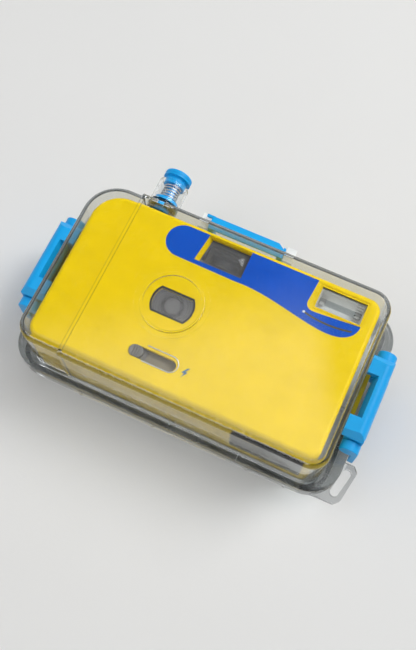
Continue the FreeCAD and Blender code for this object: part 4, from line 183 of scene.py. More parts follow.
class Surface:
    """One material, with short calls for making and joining its nodes."""

    def __init__(self, name):
        self.material = bpy.data.materials.new(name)
        self.material.use_nodes = True
        self.tree = self.material.node_tree
        self.tree.nodes.clear()
        self.output = self.node("ShaderNodeOutputMaterial")
        self.place = self.node("ShaderNodeTexCoord").outputs["Object"]

    def node(self, kind, **settings):
        """A new node with the settings given."""
        made = self.tree.nodes.new(kind)
        for key, value in settings.items():
            setattr(made, key, value)
        return made

    def join(self, source, target):
        """Joins an output to an input."""
        self.tree.links.new(source, target)

    def feed(self, socket, value):
        """Joins a socket to another one, or sets it to a plain value."""
        if isinstance(value, bpy.types.NodeSocket):
            self.join(value, socket)
        else:
            socket.default_value = value

    def stretched(self, scale):
        """The object's own coordinates, scaled by axis, which draws a pattern out."""
        mapping = self.node("ShaderNodeMapping")
        self.join(self.place, mapping.inputs["Vector"])
        mapping.inputs["Scale"].default_value = scale
        return mapping.outputs["Vector"]

    def noise(self, scale, detail=2.0, roughness=0.5, vector=None):
        """Noise of so many spots a metre."""
        made = self.node("ShaderNodeTexNoise")
        self.join(vector or self.place, made.inputs["Vector"])
        made.inputs["Scale"].default_value = scale
        made.inputs["Detail"].default_value = detail
        made.inputs["Roughness"].default_value = roughness
        return made.outputs["Fac"]

    def spread(self, value, low, high, to_low=0.0, to_high=1.0):
        """A value moved from one range to another, and kept inside it."""
        made = self.node("ShaderNodeMapRange")
        self.feed(made.inputs["Value"], value)
        made.inputs["From Min"].default_value = low
        made.inputs["From Max"].default_value = high
        made.inputs["To Min"].default_value = to_low
        made.inputs["To Max"].default_value = to_high
        return made.outputs["Result"]

    def cloud(self, noise, to_low=0.0, to_high=1.0):
        """A noise spread over its usual band, from one value to another."""
        return self.spread(noise, NOISE_LOW, NOISE_HIGH, to_low, to_high)

    def maths(self, operation, first, second=0.0):
        """The result of one operation on two values."""
        made = self.node("ShaderNodeMath", operation=operation)
        self.feed(made.inputs[0], first)
        self.feed(made.inputs[1], second)
        return made.outputs["Value"]

    def blend(self, share, first, second):
        """A colour between two colours."""
        made = self.node("ShaderNodeMix", data_type="RGBA")
        self.feed(made.inputs["Factor"], share)
        self.feed(made.inputs["A"], first if isinstance(first, bpy.types.NodeSocket) else (*first, 1.0))
        self.feed(made.inputs["B"], second if isinstance(second, bpy.types.NodeSocket) else (*second, 1.0))
        return made.outputs["Result"]

    def bump(self, height, distance, strength=1.0, below=None):
        """A normal tilted by a height of up to the distance given, on top of another if there is one."""
        made = self.node("ShaderNodeBump")
        made.inputs["Distance"].default_value = distance
        made.inputs["Strength"].default_value = strength
        self.join(height, made.inputs["Height"])
        if below is not None:
            self.join(below, made.inputs["Normal"])
        return made.outputs["Normal"]

    def worn_edges(self, radius=EDGE_RADIUS):
        """A share that rises where the surface bends sharply, broken up by noise."""
        bevel = self.node("ShaderNodeBevel", samples=4)
        bevel.inputs["Radius"].default_value = radius
        plain = self.node("ShaderNodeNewGeometry")
        turn = self.node("ShaderNodeVectorMath", operation="DOT_PRODUCT")
        self.join(bevel.outputs["Normal"], turn.inputs[0])
        self.join(plain.outputs["Normal"], turn.inputs[1])
        bend = self.spread(turn.outputs["Value"], BEND_START, BEND_FULL)
        patches = self.spread(self.noise(420.0, 3.0, 0.6), 0.42, 0.68)
        return self.maths("MULTIPLY", bend, patches)

    def dust(self):
        """A share that is 1 on small scattered specks of dust."""
        return self.spread(self.noise(2600.0, 2.0, 0.6), 0.70, 0.78)

    def wipes(self):
        """A share that rises along broad, faint wipe marks."""
        return self.spread(self.noise(160.0, 4.0, 0.7, self.stretched((1.0, 0.3, 1.0))), 0.45, 0.8)

    def near_ears(self):
        """A share that is 1 on the two ears that carry the finder and 0 elsewhere."""
        split = self.node("ShaderNodeSeparateXYZ")
        self.join(self.place, split.inputs["Vector"])
        across = self.maths("ABSOLUTE", split.outputs["X"])
        inside = self.maths("GREATER_THAN", across, FROST_X[0])
        outside = self.maths("LESS_THAN", across, FROST_X[1])
        above = self.maths("GREATER_THAN", split.outputs["Y"], FROST_FROM_Y)
        clear_of_flange = self.maths("GREATER_THAN", split.outputs["Z"], FROST_FROM_Z)
        return self.maths("MULTIPLY", self.maths("MULTIPLY", inside, outside),
                          self.maths("MULTIPLY", above, clear_of_flange))

    def off_centre(self, centre):
        """How far a spot is across, upward and in all from an upright axis."""
        split = self.node("ShaderNodeSeparateXYZ")
        self.join(self.place, split.inputs["Vector"])
        across = self.maths("SUBTRACT", split.outputs["X"], centre[0])
        upward = self.maths("SUBTRACT", split.outputs["Y"], centre[1])
        squares = self.maths("ADD", self.maths("MULTIPLY", across, across),
                             self.maths("MULTIPLY", upward, upward))
        return across, upward, self.maths("SQRT", squares)

    def on_lug(self):
        """A share that is 1 on the strap lug, outside the flange's corner, and 0 elsewhere."""
        across, upward, _ = self.off_centre(LUG_CORNER_AT)
        right = self.maths("MAXIMUM", across, 0.0)
        low = self.maths("MINIMUM", upward, 0.0)
        squares = self.maths("ADD", self.maths("MULTIPLY", right, right), self.maths("MULTIPLY", low, low))
        outside = self.maths("GREATER_THAN", squares, LUG_CORNER_R ** 2)
        below = self.maths("LESS_THAN", upward, LUG_TOP_Y - LUG_CORNER_AT[1])
        to_right = self.maths("GREATER_THAN", across, 0.0)
        return self.maths("MULTIPLY", self.maths("MULTIPLY", outside, below), to_right)

    def on_border(self):
        """A share that is 1 on the printed border of the lens window and 0 inside it."""
        _, upward, away = self.off_centre(BORDER_AT)
        round_part = self.maths("GREATER_THAN", away, BORDER_R)
        flat_part = self.maths("GREATER_THAN", self.maths("ABSOLUTE", upward), BORDER_HALF)
        return self.maths("MAXIMUM", round_part, flat_part)

    def shader(self, **values):
        """The main shader, with each input set or joined by its name."""
        made = self.node("ShaderNodeBsdfPrincipled")
        for key, value in values.items():
            socket = made.inputs[key.replace("_", " ")]
            if isinstance(value, bpy.types.NodeSocket):
                self.join(value, socket)
            elif isinstance(value, tuple) and len(value) == 3:
                socket.default_value = (*value, 1.0)
            else:
                socket.default_value = value
        return made

    def finish(self, shader):
        """Ends an opaque material."""
        self.join(shader.outputs[0], self.output.inputs["Surface"])
        return self.material

    def finish_clear(self, shader, tint):
        """Ends a clear material, which lets lamp light, and light caught in a wall, go straight on."""
        path = self.node("ShaderNodeLightPath")
        open_part = self.node("ShaderNodeBsdfTransparent")
        caught = self.maths("GREATER_THAN", path.outputs["Ray Depth"], CAUGHT_AFTER)
        bounced = self.maths("MAXIMUM", path.outputs["Is Transmission Ray"], path.outputs["Is Glossy Ray"])
        unlit = self.maths("SUBTRACT", 1.0, path.outputs["Is Shadow Ray"])
        guided = self.maths("MULTIPLY", self.maths("MULTIPLY", caught, bounced), unlit)
        self.join(self.blend(guided, tint, shade(tint, CAUGHT_TONE)), open_part.inputs["Color"])
        straight = self.maths("MAXIMUM", path.outputs["Is Shadow Ray"], caught)
        both = self.node("ShaderNodeMixShader")
        self.join(straight, both.inputs["Fac"])
        self.join(shader.outputs[0], both.inputs[1])
        self.join(open_part.outputs[0], both.inputs[2])
        self.join(both.outputs[0], self.output.inputs["Surface"])
        return self.material


def shade(colour, factor):
    """A colour made darker or lighter."""
    return tuple(min(1.0, channel * factor) for channel in colour)


def moulded_plastic(name, colour, roughness, grain=0.010, grain_scale=2600.0, shine=0.5, wear=0.35,
                    wear_colour=None):
    """Moulded plastic: faint flow in its colour, fine grain, uneven gloss and rubbed edges."""
    s = Surface(name)
    flow = s.noise(55.0, 3.0, 0.55, s.stretched((1.0, 2.2, 1.0)))
    base = s.blend(s.cloud(flow), shade(colour, 0.955), shade(colour, 1.035))
    specks = s.spread(s.noise(3800.0, 1.0), 0.70, 0.80)
    base = s.blend(s.maths("MULTIPLY", specks, 0.10), base, shade(colour, 0.55))
    worn = s.maths("MULTIPLY", s.worn_edges(), wear)
    base = s.blend(worn, base, wear_colour or shade(colour, 1.25))
    gloss = s.cloud(s.noise(130.0, 4.0, 0.6), roughness * 0.85, roughness * 1.2)
    gloss = s.maths("ADD", gloss, s.maths("MULTIPLY", worn, 0.25))
    waves = s.bump(s.noise(190.0, 1.0), 60 * MICRON, 0.35)
    fine = s.bump(s.noise(grain_scale, 2.0, 0.6), grain * MM, 1.0, waves)
    return s.finish(s.shader(Base_Color=base, Roughness=gloss, Normal=fine, Specular_IOR_Level=shine,
                             IOR=PLASTIC_INDEX))


def clear_plastic(name, tint=(0.955, 0.968, 0.972), roughness=0.035, scratch=1.0):
    """Clear moulded plastic with flow lines, fine scratches, a little haze, frosted finder ears and painted
    shade on the strap lug.
    """
    s = Surface(name)
    lines = s.spread(s.noise(900.0, 2.0, 0.7, s.stretched((0.06, 1.0, 0.5))), 0.66, 0.74)
    cross = s.spread(s.noise(1000.0, 2.0, 0.7, s.stretched((1.0, 0.05, 0.5))), 0.67, 0.74)
    marks = s.maths("MAXIMUM", lines, cross)
    haze = s.spread(s.noise(70.0, 3.0, 0.6), 0.35, 0.75, roughness * 0.5, roughness * 1.5)
    gloss = s.maths("ADD", haze, s.maths("MULTIPLY", marks, 0.10 * scratch))
    ears = s.near_ears()
    gloss = s.maths("ADD", gloss, s.maths("MULTIPLY", ears, FROST_ROUGH))
    colour = s.blend(s.cloud(s.noise(40.0, 2.0)), shade(tint, 0.985), shade(tint, 1.01))
    # painted shade: the clear plastic is tinted darker on the strap lug
    colour = s.blend(s.on_lug(), colour, LUG_PAINTED_SHADE)
    flow = s.bump(s.noise(75.0, 1.0, 0.5), 100 * MICRON, 0.20)
    fine = s.bump(marks, 6 * MICRON, 0.5 * scratch, flow)
    clear = s.spread(ears, 0.0, 1.0, 1.0, FROST_CLEAR)
    shader = s.shader(Base_Color=colour, Roughness=gloss, Normal=fine, Transmission_Weight=clear,
                      IOR=HOUSING_INDEX)
    return s.finish_clear(shader, tint)


def rubber(name):
    """Black seal rubber with a bloom of dust and fine grain."""
    s = Surface(name)
    dust = s.spread(s.noise(500.0, 4.0, 0.65), 0.5, 0.75, 0.0, 0.35)
    base = s.blend(dust, (0.018, 0.018, 0.02), (0.075, 0.075, 0.08))
    gloss = s.cloud(s.noise(240.0, 3.0), 0.42, 0.62)
    fine = s.bump(s.noise(4200.0, 2.0), 10 * MICRON, 1.0)
    return s.finish(s.shader(Base_Color=base, Roughness=gloss, Normal=fine))


def steel(name, colour=(0.60, 0.61, 0.62), roughness=0.26, along=(1.0, 1.0, 0.06)):
    """Drawn or rolled steel: fine lines one way, faint stains and brighter rubbed edges."""
    s = Surface(name)
    lines = s.noise(5200.0, 3.0, 0.6, s.stretched(along))
    stains = s.spread(s.noise(210.0, 4.0, 0.6), 0.35, 0.75)
    base = s.blend(stains, colour, shade(colour, 0.80))
    base = s.blend(s.maths("MULTIPLY", s.worn_edges(), 0.5), base, shade(colour, 1.3))
    gloss = s.cloud(lines, roughness * 0.8, roughness * 1.3)
    fine = s.bump(lines, 4 * MICRON, 1.0)
    return s.finish(s.shader(Base_Color=base, Metallic=1.0, Roughness=gloss, Normal=fine))


def painted_steel(name, colour):
    """Blackened steel with a satin skin that is rubbed bright on its edges."""
    s = Surface(name)
    mottle = s.cloud(s.noise(800.0, 3.0, 0.6))
    base = s.blend(mottle, shade(colour, 0.8), shade(colour, 1.25))
    worn = s.maths("MULTIPLY", s.worn_edges(), 0.8)
    base = s.blend(worn, base, (0.40, 0.40, 0.41))
    gloss = s.cloud(s.noise(600.0, 2.0), 0.34, 0.48)
    fine = s.bump(s.noise(3000.0, 2.0), 8 * MICRON, 1.0)
    return s.finish(s.shader(Base_Color=base, Metallic=0.55, Roughness=gloss, Normal=fine))


def glass(name, tint=(0.90, 0.93, 0.95), roughness=0.01, index=GLASS_INDEX):
    """Polished glass or clear window with faint dust and wipe marks."""
    s = Surface(name)
    dust = s.dust()
    wipes = s.wipes()
    gloss = s.maths("ADD", s.maths("MULTIPLY", dust, 0.12),
                    s.spread(wipes, 0.0, 1.0, roughness, roughness * 4))
    colour = s.blend(s.maths("MULTIPLY", dust, 0.35), tint, shade(tint, 0.7))
    fine = s.bump(wipes, 1 * MICRON, 0.1)
    shader = s.shader(Base_Color=colour, Roughness=gloss, Normal=fine, Transmission_Weight=1.0, IOR=index)
    return s.finish_clear(shader, tint)


def milky_window(name, body, clear, bordered=False, border=(0.045, 0.045, 0.048)):
    """A slightly milky window with faint wipe marks, and a dark border if one is printed on it."""
    s = Surface(name)
    edge = s.on_border() if bordered else 0.0
    wipes = s.wipes()
    gloss = s.spread(wipes, 0.0, 1.0, 0.015, 0.06)
    colour = s.blend(edge, s.blend(wipes, body, shade(body, 0.94)), border)
    fine = s.bump(wipes, 3 * MICRON, 0.4)
    through = s.spread(edge, 0.0, 1.0, clear, 0.0)
    shader = s.shader(Base_Color=colour, Roughness=gloss, Normal=fine, Transmission_Weight=through,
                      IOR=WINDOW_INDEX)
    return s.finish_clear(shader, body)


def ringed_plastic(name, colour, crest_highlight):
    """Grey plastic turned in fine rings about the lens's axis, with painted highlights on the crests and
    painted shade between them.
    """
    s = Surface(name)
    away = s.off_centre(BORDER_AT)[2]
    rings = s.maths("SINE", s.maths("MULTIPLY", away, 2 * math.pi / RING_PITCH))
    # painted highlight and shade: each ring goes from a darker trough tone to the pale crest tone
    base = s.blend(s.spread(rings, 0.0, 1.0), shade(colour, 0.75), crest_highlight)
    gloss = s.cloud(s.noise(300.0, 3.0), 0.26, 0.38)
    fine = s.bump(rings, 60 * MICRON, 0.6)
    return s.finish(s.shader(Base_Color=base, Roughness=gloss, Normal=fine))


def coated_lens(name, painted_glow, rim):
    """The front lens: a painted pale glow in its middle that fades darker outward, a dark ring round it and
    a grey edge.
    """
    s = Surface(name)
    away = s.off_centre(BORDER_AT)[2]
    dark = s.maths("MULTIPLY", s.spread(away, LENS_RIM[0], LENS_RIM[1]),
                   s.spread(away, LENS_RIM[2], LENS_RIM[3], 1.0, 0.0))
    dust = s.dust()
    gloss = s.maths("ADD", s.maths("MULTIPLY", dust, 0.12), 0.03)
    # painted highlight: pale in the middle, fading to a darker grey towards the rim
    base = s.blend(s.spread(away, 0.0, LENS_RIM[1]), painted_glow, shade(painted_glow, 0.6))
    base = s.blend(dark, base, rim)
    fine = s.bump(s.spread(dark, 0.0, 1.0), 30 * MICRON, 0.5)
    shader = s.shader(Base_Color=base, Roughness=gloss, Normal=fine, Transmission_Weight=0.35,
                      IOR=COATED_INDEX)
    return s.finish_clear(shader, shade(painted_glow, 1.5))


def reflector(name):
    """The vacuum-plated reflector drawn as near-white satin plastic, its pale colour a painted reflection,
    with soft ripples and a few dull specks.
    """
    s = Surface(name)
    specks = s.spread(s.noise(1500.0, 3.0, 0.6), 0.62, 0.72)
    # painted reflection: a near-white diffuse colour stands in for the bright reflections of the plated
    # surface
    base = s.blend(specks, (0.95, 0.945, 0.92), (0.80, 0.79, 0.77))
    gloss = s.cloud(s.noise(300.0, 3.0), 0.35, 0.50)
    ripples = s.bump(s.noise(900.0, 2.0, 0.6), 30 * MICRON, 1.0)
    return s.finish(s.shader(Base_Color=base, Metallic=0.05, Roughness=gloss, Normal=ripples))


def ribbed_window(name):
    """Clear flash window with fine vertical ribs that spread the light."""
    s = Surface(name)
    ribs = s.node("ShaderNodeTexWave", wave_type="BANDS", bands_direction="X", wave_profile="SIN")
    s.join(s.place, ribs.inputs["Vector"])
    ribs.inputs["Scale"].default_value = 420.0
    gloss = s.cloud(s.noise(260.0, 3.0), 0.03, 0.09)
    colour = s.blend(s.cloud(s.noise(120.0, 2.0)), (0.985, 0.98, 0.97), (0.95, 0.945, 0.935))
    fine = s.bump(ribs.outputs["Fac"], 30 * MICRON, 0.6)
    shader = s.shader(Base_Color=colour, Roughness=gloss, Normal=fine, Transmission_Weight=1.0,
                      IOR=PLASTIC_INDEX)
    return s.finish_clear(shader, (0.98, 0.975, 0.965))


def film_surface(name):
    """Developed-brown film with a glossy base and a faintly mottled emulsion."""
    s = Surface(name)
    mottle = s.cloud(s.noise(320.0, 4.0, 0.6))
    base = s.blend(mottle, (0.13, 0.050, 0.028), (0.19, 0.075, 0.040))
    gloss = s.cloud(s.noise(150.0, 3.0), 0.12, 0.24)
    fine = s.bump(s.noise(1200.0, 2.0), 6 * MICRON, 1.0)
    return s.finish(s.shader(Base_Color=base, Roughness=gloss, Normal=fine))


def board_surface(name):
    """Circuit board: green lacquer over paler copper runs."""
    s = Surface(name)
    runs = s.node("ShaderNodeTexBrick", offset=0.37, squash=0.8)
    s.join(s.place, runs.inputs["Vector"])
    runs.inputs["Scale"].default_value = 260.0
    runs.inputs["Mortar Size"].default_value = 0.10
    lacquer = s.blend(s.cloud(s.noise(300.0, 3.0)), (0.012, 0.11, 0.040), (0.020, 0.16, 0.055))
    base = s.blend(runs.outputs["Fac"], lacquer, (0.06, 0.26, 0.09))
    gloss = s.cloud(s.noise(500.0, 2.0), 0.25, 0.40)
    fine = s.bump(runs.outputs["Fac"], 30 * MICRON, 0.6)
    return s.finish(s.shader(Base_Color=base, Roughness=gloss, Normal=fine))


def jacket(name, colour, roughness=0.3, metallic=0.0):
    """Shrunk sleeve or jacket with small wrinkles, its colour lighter and darker along the same wrinkle
    pattern.
    """
    s = Surface(name)
    wrinkles = s.noise(620.0, 3.0, 0.6, s.stretched((1.0, 0.25, 1.0)))
    base = s.blend(s.cloud(wrinkles), shade(colour, 0.88), shade(colour, 1.08))
    gloss = s.cloud(s.noise(240.0, 3.0), roughness * 0.8, roughness * 1.3)
    fine = s.bump(wrinkles, 20 * MICRON, 0.7)
    return s.finish(s.shader(Base_Color=base, Roughness=gloss, Normal=fine, Metallic=metallic))


def painted_mark(name, colour):
    """Thin paint or ink with a slightly uneven cover."""
    s = Surface(name)
    cover = s.cloud(s.noise(2400.0, 3.0, 0.6))
    base = s.blend(cover, shade(colour, 0.85), shade(colour, 1.2))
    gloss = s.cloud(s.noise(900.0, 2.0), 0.35, 0.5)
    fine = s.bump(cover, 6 * MICRON, 0.8)
    return s.finish(s.shader(Base_Color=base, Roughness=gloss, Normal=fine))


LIGHT_BLUE = (0.005, 0.385, 0.860)

SLOT_LOOKS = {
    "clear_plastic": lambda: clear_plastic("clear housing plastic"),
    "clear_silicone": lambda: clear_plastic("milky silicone", (0.86, 0.87, 0.87), 0.25, 0.3),
    "seal_rubber": lambda: rubber("seal rubber"),
    "light_blue_plastic": lambda: moulded_plastic("light blue plastic", LIGHT_BLUE, 0.34, shine=0.3,
                                                  wear=0.30),
    "stainless_steel": lambda: steel("stainless steel", (0.74, 0.75, 0.76), 0.36),
    "yellow_plastic": lambda: moulded_plastic("yellow plastic", (0.780, 0.548, 0.001), 0.26, grain=0.004,
                                              shine=0.14, wear=0.20),
    "deep_blue_plastic": lambda: moulded_plastic("deep blue plastic", (0.001, 0.074, 0.465), 0.33,
                                                 shine=0.14, wear=0.10),
    "olive_paint": lambda: painted_mark("olive paint", (0.070, 0.065, 0.020)),
    "white_plastic": lambda: moulded_plastic("white plastic", (0.74, 0.74, 0.72), 0.42),
    "black_plastic": lambda: moulded_plastic("black plastic", (0.026, 0.026, 0.029), 0.46, grain=0.020,
                                             grain_scale=1900.0, wear=0.5, wear_colour=(0.10, 0.10, 0.105)),
    "grey_plastic": lambda: moulded_plastic("grey plastic", (0.140, 0.133, 0.125), 0.40),
    "smoked_window": lambda: glass("smoked window", (0.70, 0.70, 0.71), 0.012, PLASTIC_INDEX),
    "lens_glass": lambda: glass("lens glass"),
    "black_steel": lambda: painted_steel("black steel", (0.035, 0.035, 0.038)),
    "cassette_plastic": lambda: jacket("cassette", (0.20, 0.21, 0.23), 0.35, 0.6),
    "film_base": lambda: film_surface("film"),
    "flash_plastic": lambda: ribbed_window("ribbed flash window"),
    "bright_reflector": lambda: reflector("bright reflector"),
    "circuit_board": lambda: board_surface("circuit board"),
    "capacitor_sleeve": lambda: jacket("capacitor sleeve", (0.035, 0.045, 0.11)),
    "dark_ink": lambda: painted_mark("dark ink", (0.045, 0.055, 0.085)),
    "battery_jacket": lambda: jacket("battery jacket", (0.42, 0.43, 0.45), 0.3, 0.7),
    "spring_steel": lambda: steel("spring steel", (0.58, 0.57, 0.54), 0.30, (1.0, 0.06, 1.0)),
}


NODE_LOOKS = {
    # the lens barrel's ring colours are painted highlights on the crests and painted shade between them
    "lens_barrel": lambda: ringed_plastic("ringed grey", (0.185, 0.178, 0.180), (0.235, 0.226, 0.228)),
    # the front lens's pale middle is a painted highlight
    "front_lens": lambda: coated_lens("coated lens", (0.47, 0.46, 0.46), (0.055, 0.052, 0.054)),
    "lens_window": lambda: milky_window("lens window", (0.80, 0.79, 0.79), 0.94, bordered=True),
    "flash_mark": lambda: painted_mark("blue grey ink", (0.030, 0.130, 0.260)),
    "viewfinder_lens": lambda: milky_window("viewfinder glass", (0.80, 0.79, 0.79), 0.95),
    "switch_guide": lambda: moulded_plastic("warm grey plastic", (0.200, 0.175, 0.125), 0.50),
    "viewfinder_tunnel": lambda: moulded_plastic("matt dark grey", (0.110, 0.110, 0.113), 0.55, wear=0.8,
                                                 wear_colour=(0.20, 0.20, 0.21)),
}


def dress_nodes(frame):
    """Gives every CAD node the finish that its material slot asks for."""
    looks = {}
    for part in frame["record"]["subparts"]:
        slot_name = part["material_slot"]
        if slot_name not in looks:
            looks[slot_name] = SLOT_LOOKS[slot_name]()
        node = part["node"]
        if node in NODE_LOOKS:
            looks[node] = NODE_LOOKS[node]()
        mesh = frame["nodes"][node].data
        mesh.materials.clear()
        mesh.materials.append(looks.get(node, looks[slot_name]))
    return looks


def add_piece(name, mesh, look, body):
    """Puts a mesh in the scene as a piece that moves with a body."""
    mesh.materials.append(look)
    piece = bpy.data.objects.new(name, mesh)
    bpy.context.scene.collection.objects.link(piece)
    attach(piece, body)
    return piece


def joined_loops(name, loops, closed):
    """A mesh of quads between loops of as many points each, and back to the first loop if closed."""
    count = len(loops[0])
    faces = []
    pairs = list(zip(range(len(loops) - 1), range(1, len(loops))))
    if closed:
        pairs.append((len(loops) - 1, 0))
    for low, high in pairs:
        for i in range(count):
            j = (i + 1) % count
            faces.append((low * count + i, low * count + j, high * count + j, high * count + i))
    mesh = bpy.data.meshes.new(name)
    mesh.from_pydata([tuple(c * MM for c in point) for loop in loops for point in loop], [], faces)
    cleaned = bmesh.new()
    cleaned.from_mesh(mesh)
    bmesh.ops.recalc_face_normals(cleaned, faces=cleaned.faces)
    cleaned.to_mesh(mesh)
    cleaned.free()
    return mesh


def smoothed(mesh):
    """The mesh, shaded as one curved surface."""
    mesh.polygons.foreach_set("use_smooth", [True] * len(mesh.polygons))
    return mesh


def rounded_loop(corners, radius, z, steps=6):
    """A level outline with each corner turned along a curve that starts one radius away from it."""
    points = []
    for i, corner in enumerate(corners):
        here = Vector(corner)
        before = (Vector(corners[i - 1]) - here).normalized() * radius + here
        after = (Vector(corners[(i + 1) % len(corners)]) - here).normalized() * radius + here
        for step in range(steps + 1):
            t = step / steps
            spot = before * (1 - t) ** 2 + here * 2 * t * (1 - t) + after * t ** 2
            points.append((spot.x, spot.y, z))
    return points


def block_corners(centre, half):
    """The four corners of a block, from its upper left and clockwise."""
    return [(centre[0] + sx * half[0], centre[1] + sy * half[1])
            for sx, sy in ((-1, 1), (1, 1), (1, -1), (-1, -1))]


def moved_in(corners, step):
    """Corners drawn in towards their middle by one step each way."""
    mid_x = sum(x for x, _ in corners) / len(corners)
    mid_y = sum(y for _, y in corners) / len(corners)
    return [(x - math.copysign(step, x - mid_x), y - math.copysign(step, y - mid_y)) for x, y in corners]


def add_finder_mask(looks):
    """The dark stepped mask on the floor of the viewfinder's recess, round the glass."""
    top = FINDER_FLOOR_Z + MASK_T
    step = moved_in(FINDER_FLOOR, MASK_STEP)
    halfway = top - MASK_T / 2
    low = FINDER_FLOOR_Z + SKIN
    loops = [rounded_loop(FINDER_FLOOR, MASK_OUTER_R, low), rounded_loop(FINDER_FLOOR, MASK_OUTER_R, top),
             rounded_loop(step, MASK_STEP_R, top), rounded_loop(step, MASK_STEP_R, halfway),
             rounded_loop(FINDER_GLASS_EDGE, MASK_INNER_R, halfway),
             rounded_loop(FINDER_GLASS_EDGE, MASK_INNER_R, low)]
    add_piece("finder_mask", joined_loops("finder_mask", loops, True), looks["viewfinder_tunnel"],
              "camera_housing")


def add_finder_baffles(looks):
    """Smaller and smaller frames down the viewfinder's tunnel, which keep stray light out."""
    low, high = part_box("viewfinder_eyepiece")
    centre = ((low[0] + high[0]) / 2 / MM, (low[1] + high[1]) / 2 / MM)
    for i, z in enumerate(BAFFLE_LEVELS):
        half = [size - i * less for size, less in zip(BAFFLE_HALF, BAFFLE_SHRINK)]
        outer = block_corners(centre, half)
        inner = moved_in(outer, BAFFLE_LIP)
        top = z + BAFFLE_T
        loops = [rounded_loop(outer, BAFFLE_OUTER_R, z), rounded_loop(outer, BAFFLE_OUTER_R, top),
                 rounded_loop(inner, BAFFLE_INNER_R, top), rounded_loop(inner, BAFFLE_INNER_R, z)]
        name = "finder_baffle_%d" % (i + 1)
        add_piece(name, joined_loops(name, loops, True), looks["viewfinder_tunnel"], "camera_housing")


def pill_path(x1, y, half, open_from):
    """Points along a pill outline from its upper left to its lower left, without its left end."""
    points = [(open_from, y + half)]
    for step in range(PILL_STEPS + 1):
        angle = math.pi / 2 - math.pi * step / PILL_STEPS
        points.append((x1 - half + half * math.cos(angle), y + half * math.sin(angle)))
    return points + [(open_from, y - half)]


def add_switch_trim(looks):
    """The bright raised line round the flash switch's slot, open where the knob stands."""
    y = SLOT_Y + TRIM_UP
    top_z = CAMERA_FACE_Z + TRIM_T
    shoulder_z = CAMERA_FACE_Z + TRIM_T * TRIM_SHOULDER
    lines = []
    for out in (0.0, TRIM_W / 2, TRIM_W):
        lines.append(pill_path(SLOT_END_X + TRIM_UP + out, y, SLOT_HALF + TRIM_GAP + TRIM_UP + out,
                               TRIM_START_X))
    loops = []
    for low_in, top, low_out in zip(*lines):
        loops.append([(*low_in, CAMERA_FACE_Z), (*low_in, shoulder_z), (*top, top_z),
                      (*low_out, shoulder_z), (*low_out, CAMERA_FACE_Z)])
    mesh = smoothed(joined_loops("switch_trim", loops, False))
    add_piece("switch_trim", mesh, looks["stainless_steel"], "camera_housing")


def turned_loops(profile, centre, count=32):
    """Round level loops about an upright axis, from radius and height pairs."""
    loops = []
    for radius, z in profile:
        loops.append([(centre[0] + radius * math.cos(2 * math.pi * i / count),
                       centre[1] + radius * math.sin(2 * math.pi * i / count), z) for i in range(count)])
    return loops


def add_accent_dot(looks):
    """The small white dot at the left end of the accent line."""
    profile = [(DOT_R * wide, CAMERA_FACE_Z + DOT_T * up) for wide, up in DOT_PROFILE]
    mesh = smoothed(joined_loops("accent_dot", turned_loops(profile, DOT_AT), False))
    add_piece("accent_dot", mesh, looks["white_plastic"], "camera_housing")


def add_tube_caps(looks):
    """The metal caps on the two ends of the flash tube."""
    low, high = [[c / MM for c in corner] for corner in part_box("flash_tube")]
    radius = (high[2] - low[2]) / 2
    mid_y = (low[1] + high[1]) / 2
    mid_z = (low[2] + high[2]) / 2
    rim = radius + TUBE_CAP_LIP
    body = radius + TUBE_CAP_T
    turns = [2 * math.pi * i / TUBE_CAP_SIDES for i in range(TUBE_CAP_SIDES)]
    ends = (("tube_cap_left", low[0] + TUBE_CAP_IN, 1), ("tube_cap_right", high[0] - TUBE_CAP_IN, -1))
    for name, start, way in ends:
        rings = ((rim, 0.0), (body, 0.0), (body, TUBE_CAP_L - TUBE_CAP_BEVEL), (rim, TUBE_CAP_L))
        loops = [[(start + way * along, mid_y + size * math.cos(turn), mid_z + size * math.sin(turn))
                  for turn in turns] for size, along in rings]
        mesh = joined_loops(name, loops, True)
        add_piece(name, mesh, looks["stainless_steel"], "camera_housing")


def add_flash_ribs(looks):
    """Short moulded ribs on the underside of the flash window's right end."""
    low, high = [[c / MM for c in corner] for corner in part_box("flash_window")]
    pitch = (high[1] - low[1] - 2 * RIB_MARGIN) / RIB_COUNT
    top = low[2] - SKIN
    bottom = low[2] - RIB_H
    for i in range(RIB_COUNT):
        mid = low[1] + RIB_MARGIN + pitch * (i + 0.5)
        section = [(mid - RIB_W / 2, top), (mid - RIB_W / 4, bottom), (mid + RIB_W / 4, bottom),
                   (mid + RIB_W / 2, top)]
        loops = [[(x, y, z) for y, z in section]
                 for x in (RIB_START_X, RIB_START_X + RIB_SLOPE, RIB_START_X + RIB_L)]
        name = "flash_rib_%d" % (i + 1)
        add_piece(name, joined_loops(name, loops, False), looks["flash_plastic"], "camera_housing")


def add_plunger_coil(frame, looks):
    """The return coil, which stands on its washer: a copy of the CAD spring, which is hidden."""
    node = frame["nodes"]["plunger_spring"]
    mesh = node.data.copy()
    mesh.transform(node.matrix_world)
    mesh.materials.clear()
    coil = add_piece("plunger_coil", mesh, looks["stainless_steel"], "camera_housing")
    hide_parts("plunger_spring")
    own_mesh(coil)


def add_floor(level):
    """The pale floor that the object lies on, level with its lowest point."""
    mesh = bpy.data.meshes.new("studio_floor")
    half = FLOOR_SIZE / 2
    corners = [(x * half, y * half, level) for x, y in ((-1, -1), (1, -1), (1, 1), (-1, 1))]
    mesh.from_pydata(corners, [], [(0, 1, 2, 3)])
    floor = bpy.data.objects.new("studio_floor", mesh)
    bpy.context.scene.collection.objects.link(floor)
    s = Surface("pale floor")
    mottle = s.cloud(s.noise(9.0, 4.0, 0.6))
    base = s.blend(mottle, shade(FLOOR_COLOUR, 0.985), FLOOR_COLOUR)
    fine = s.bump(s.noise(700.0, 3.0), 50 * MICRON, 0.4)
    mesh.materials.append(s.finish(s.shader(Base_Color=base, Roughness=0.75, Normal=fine)))


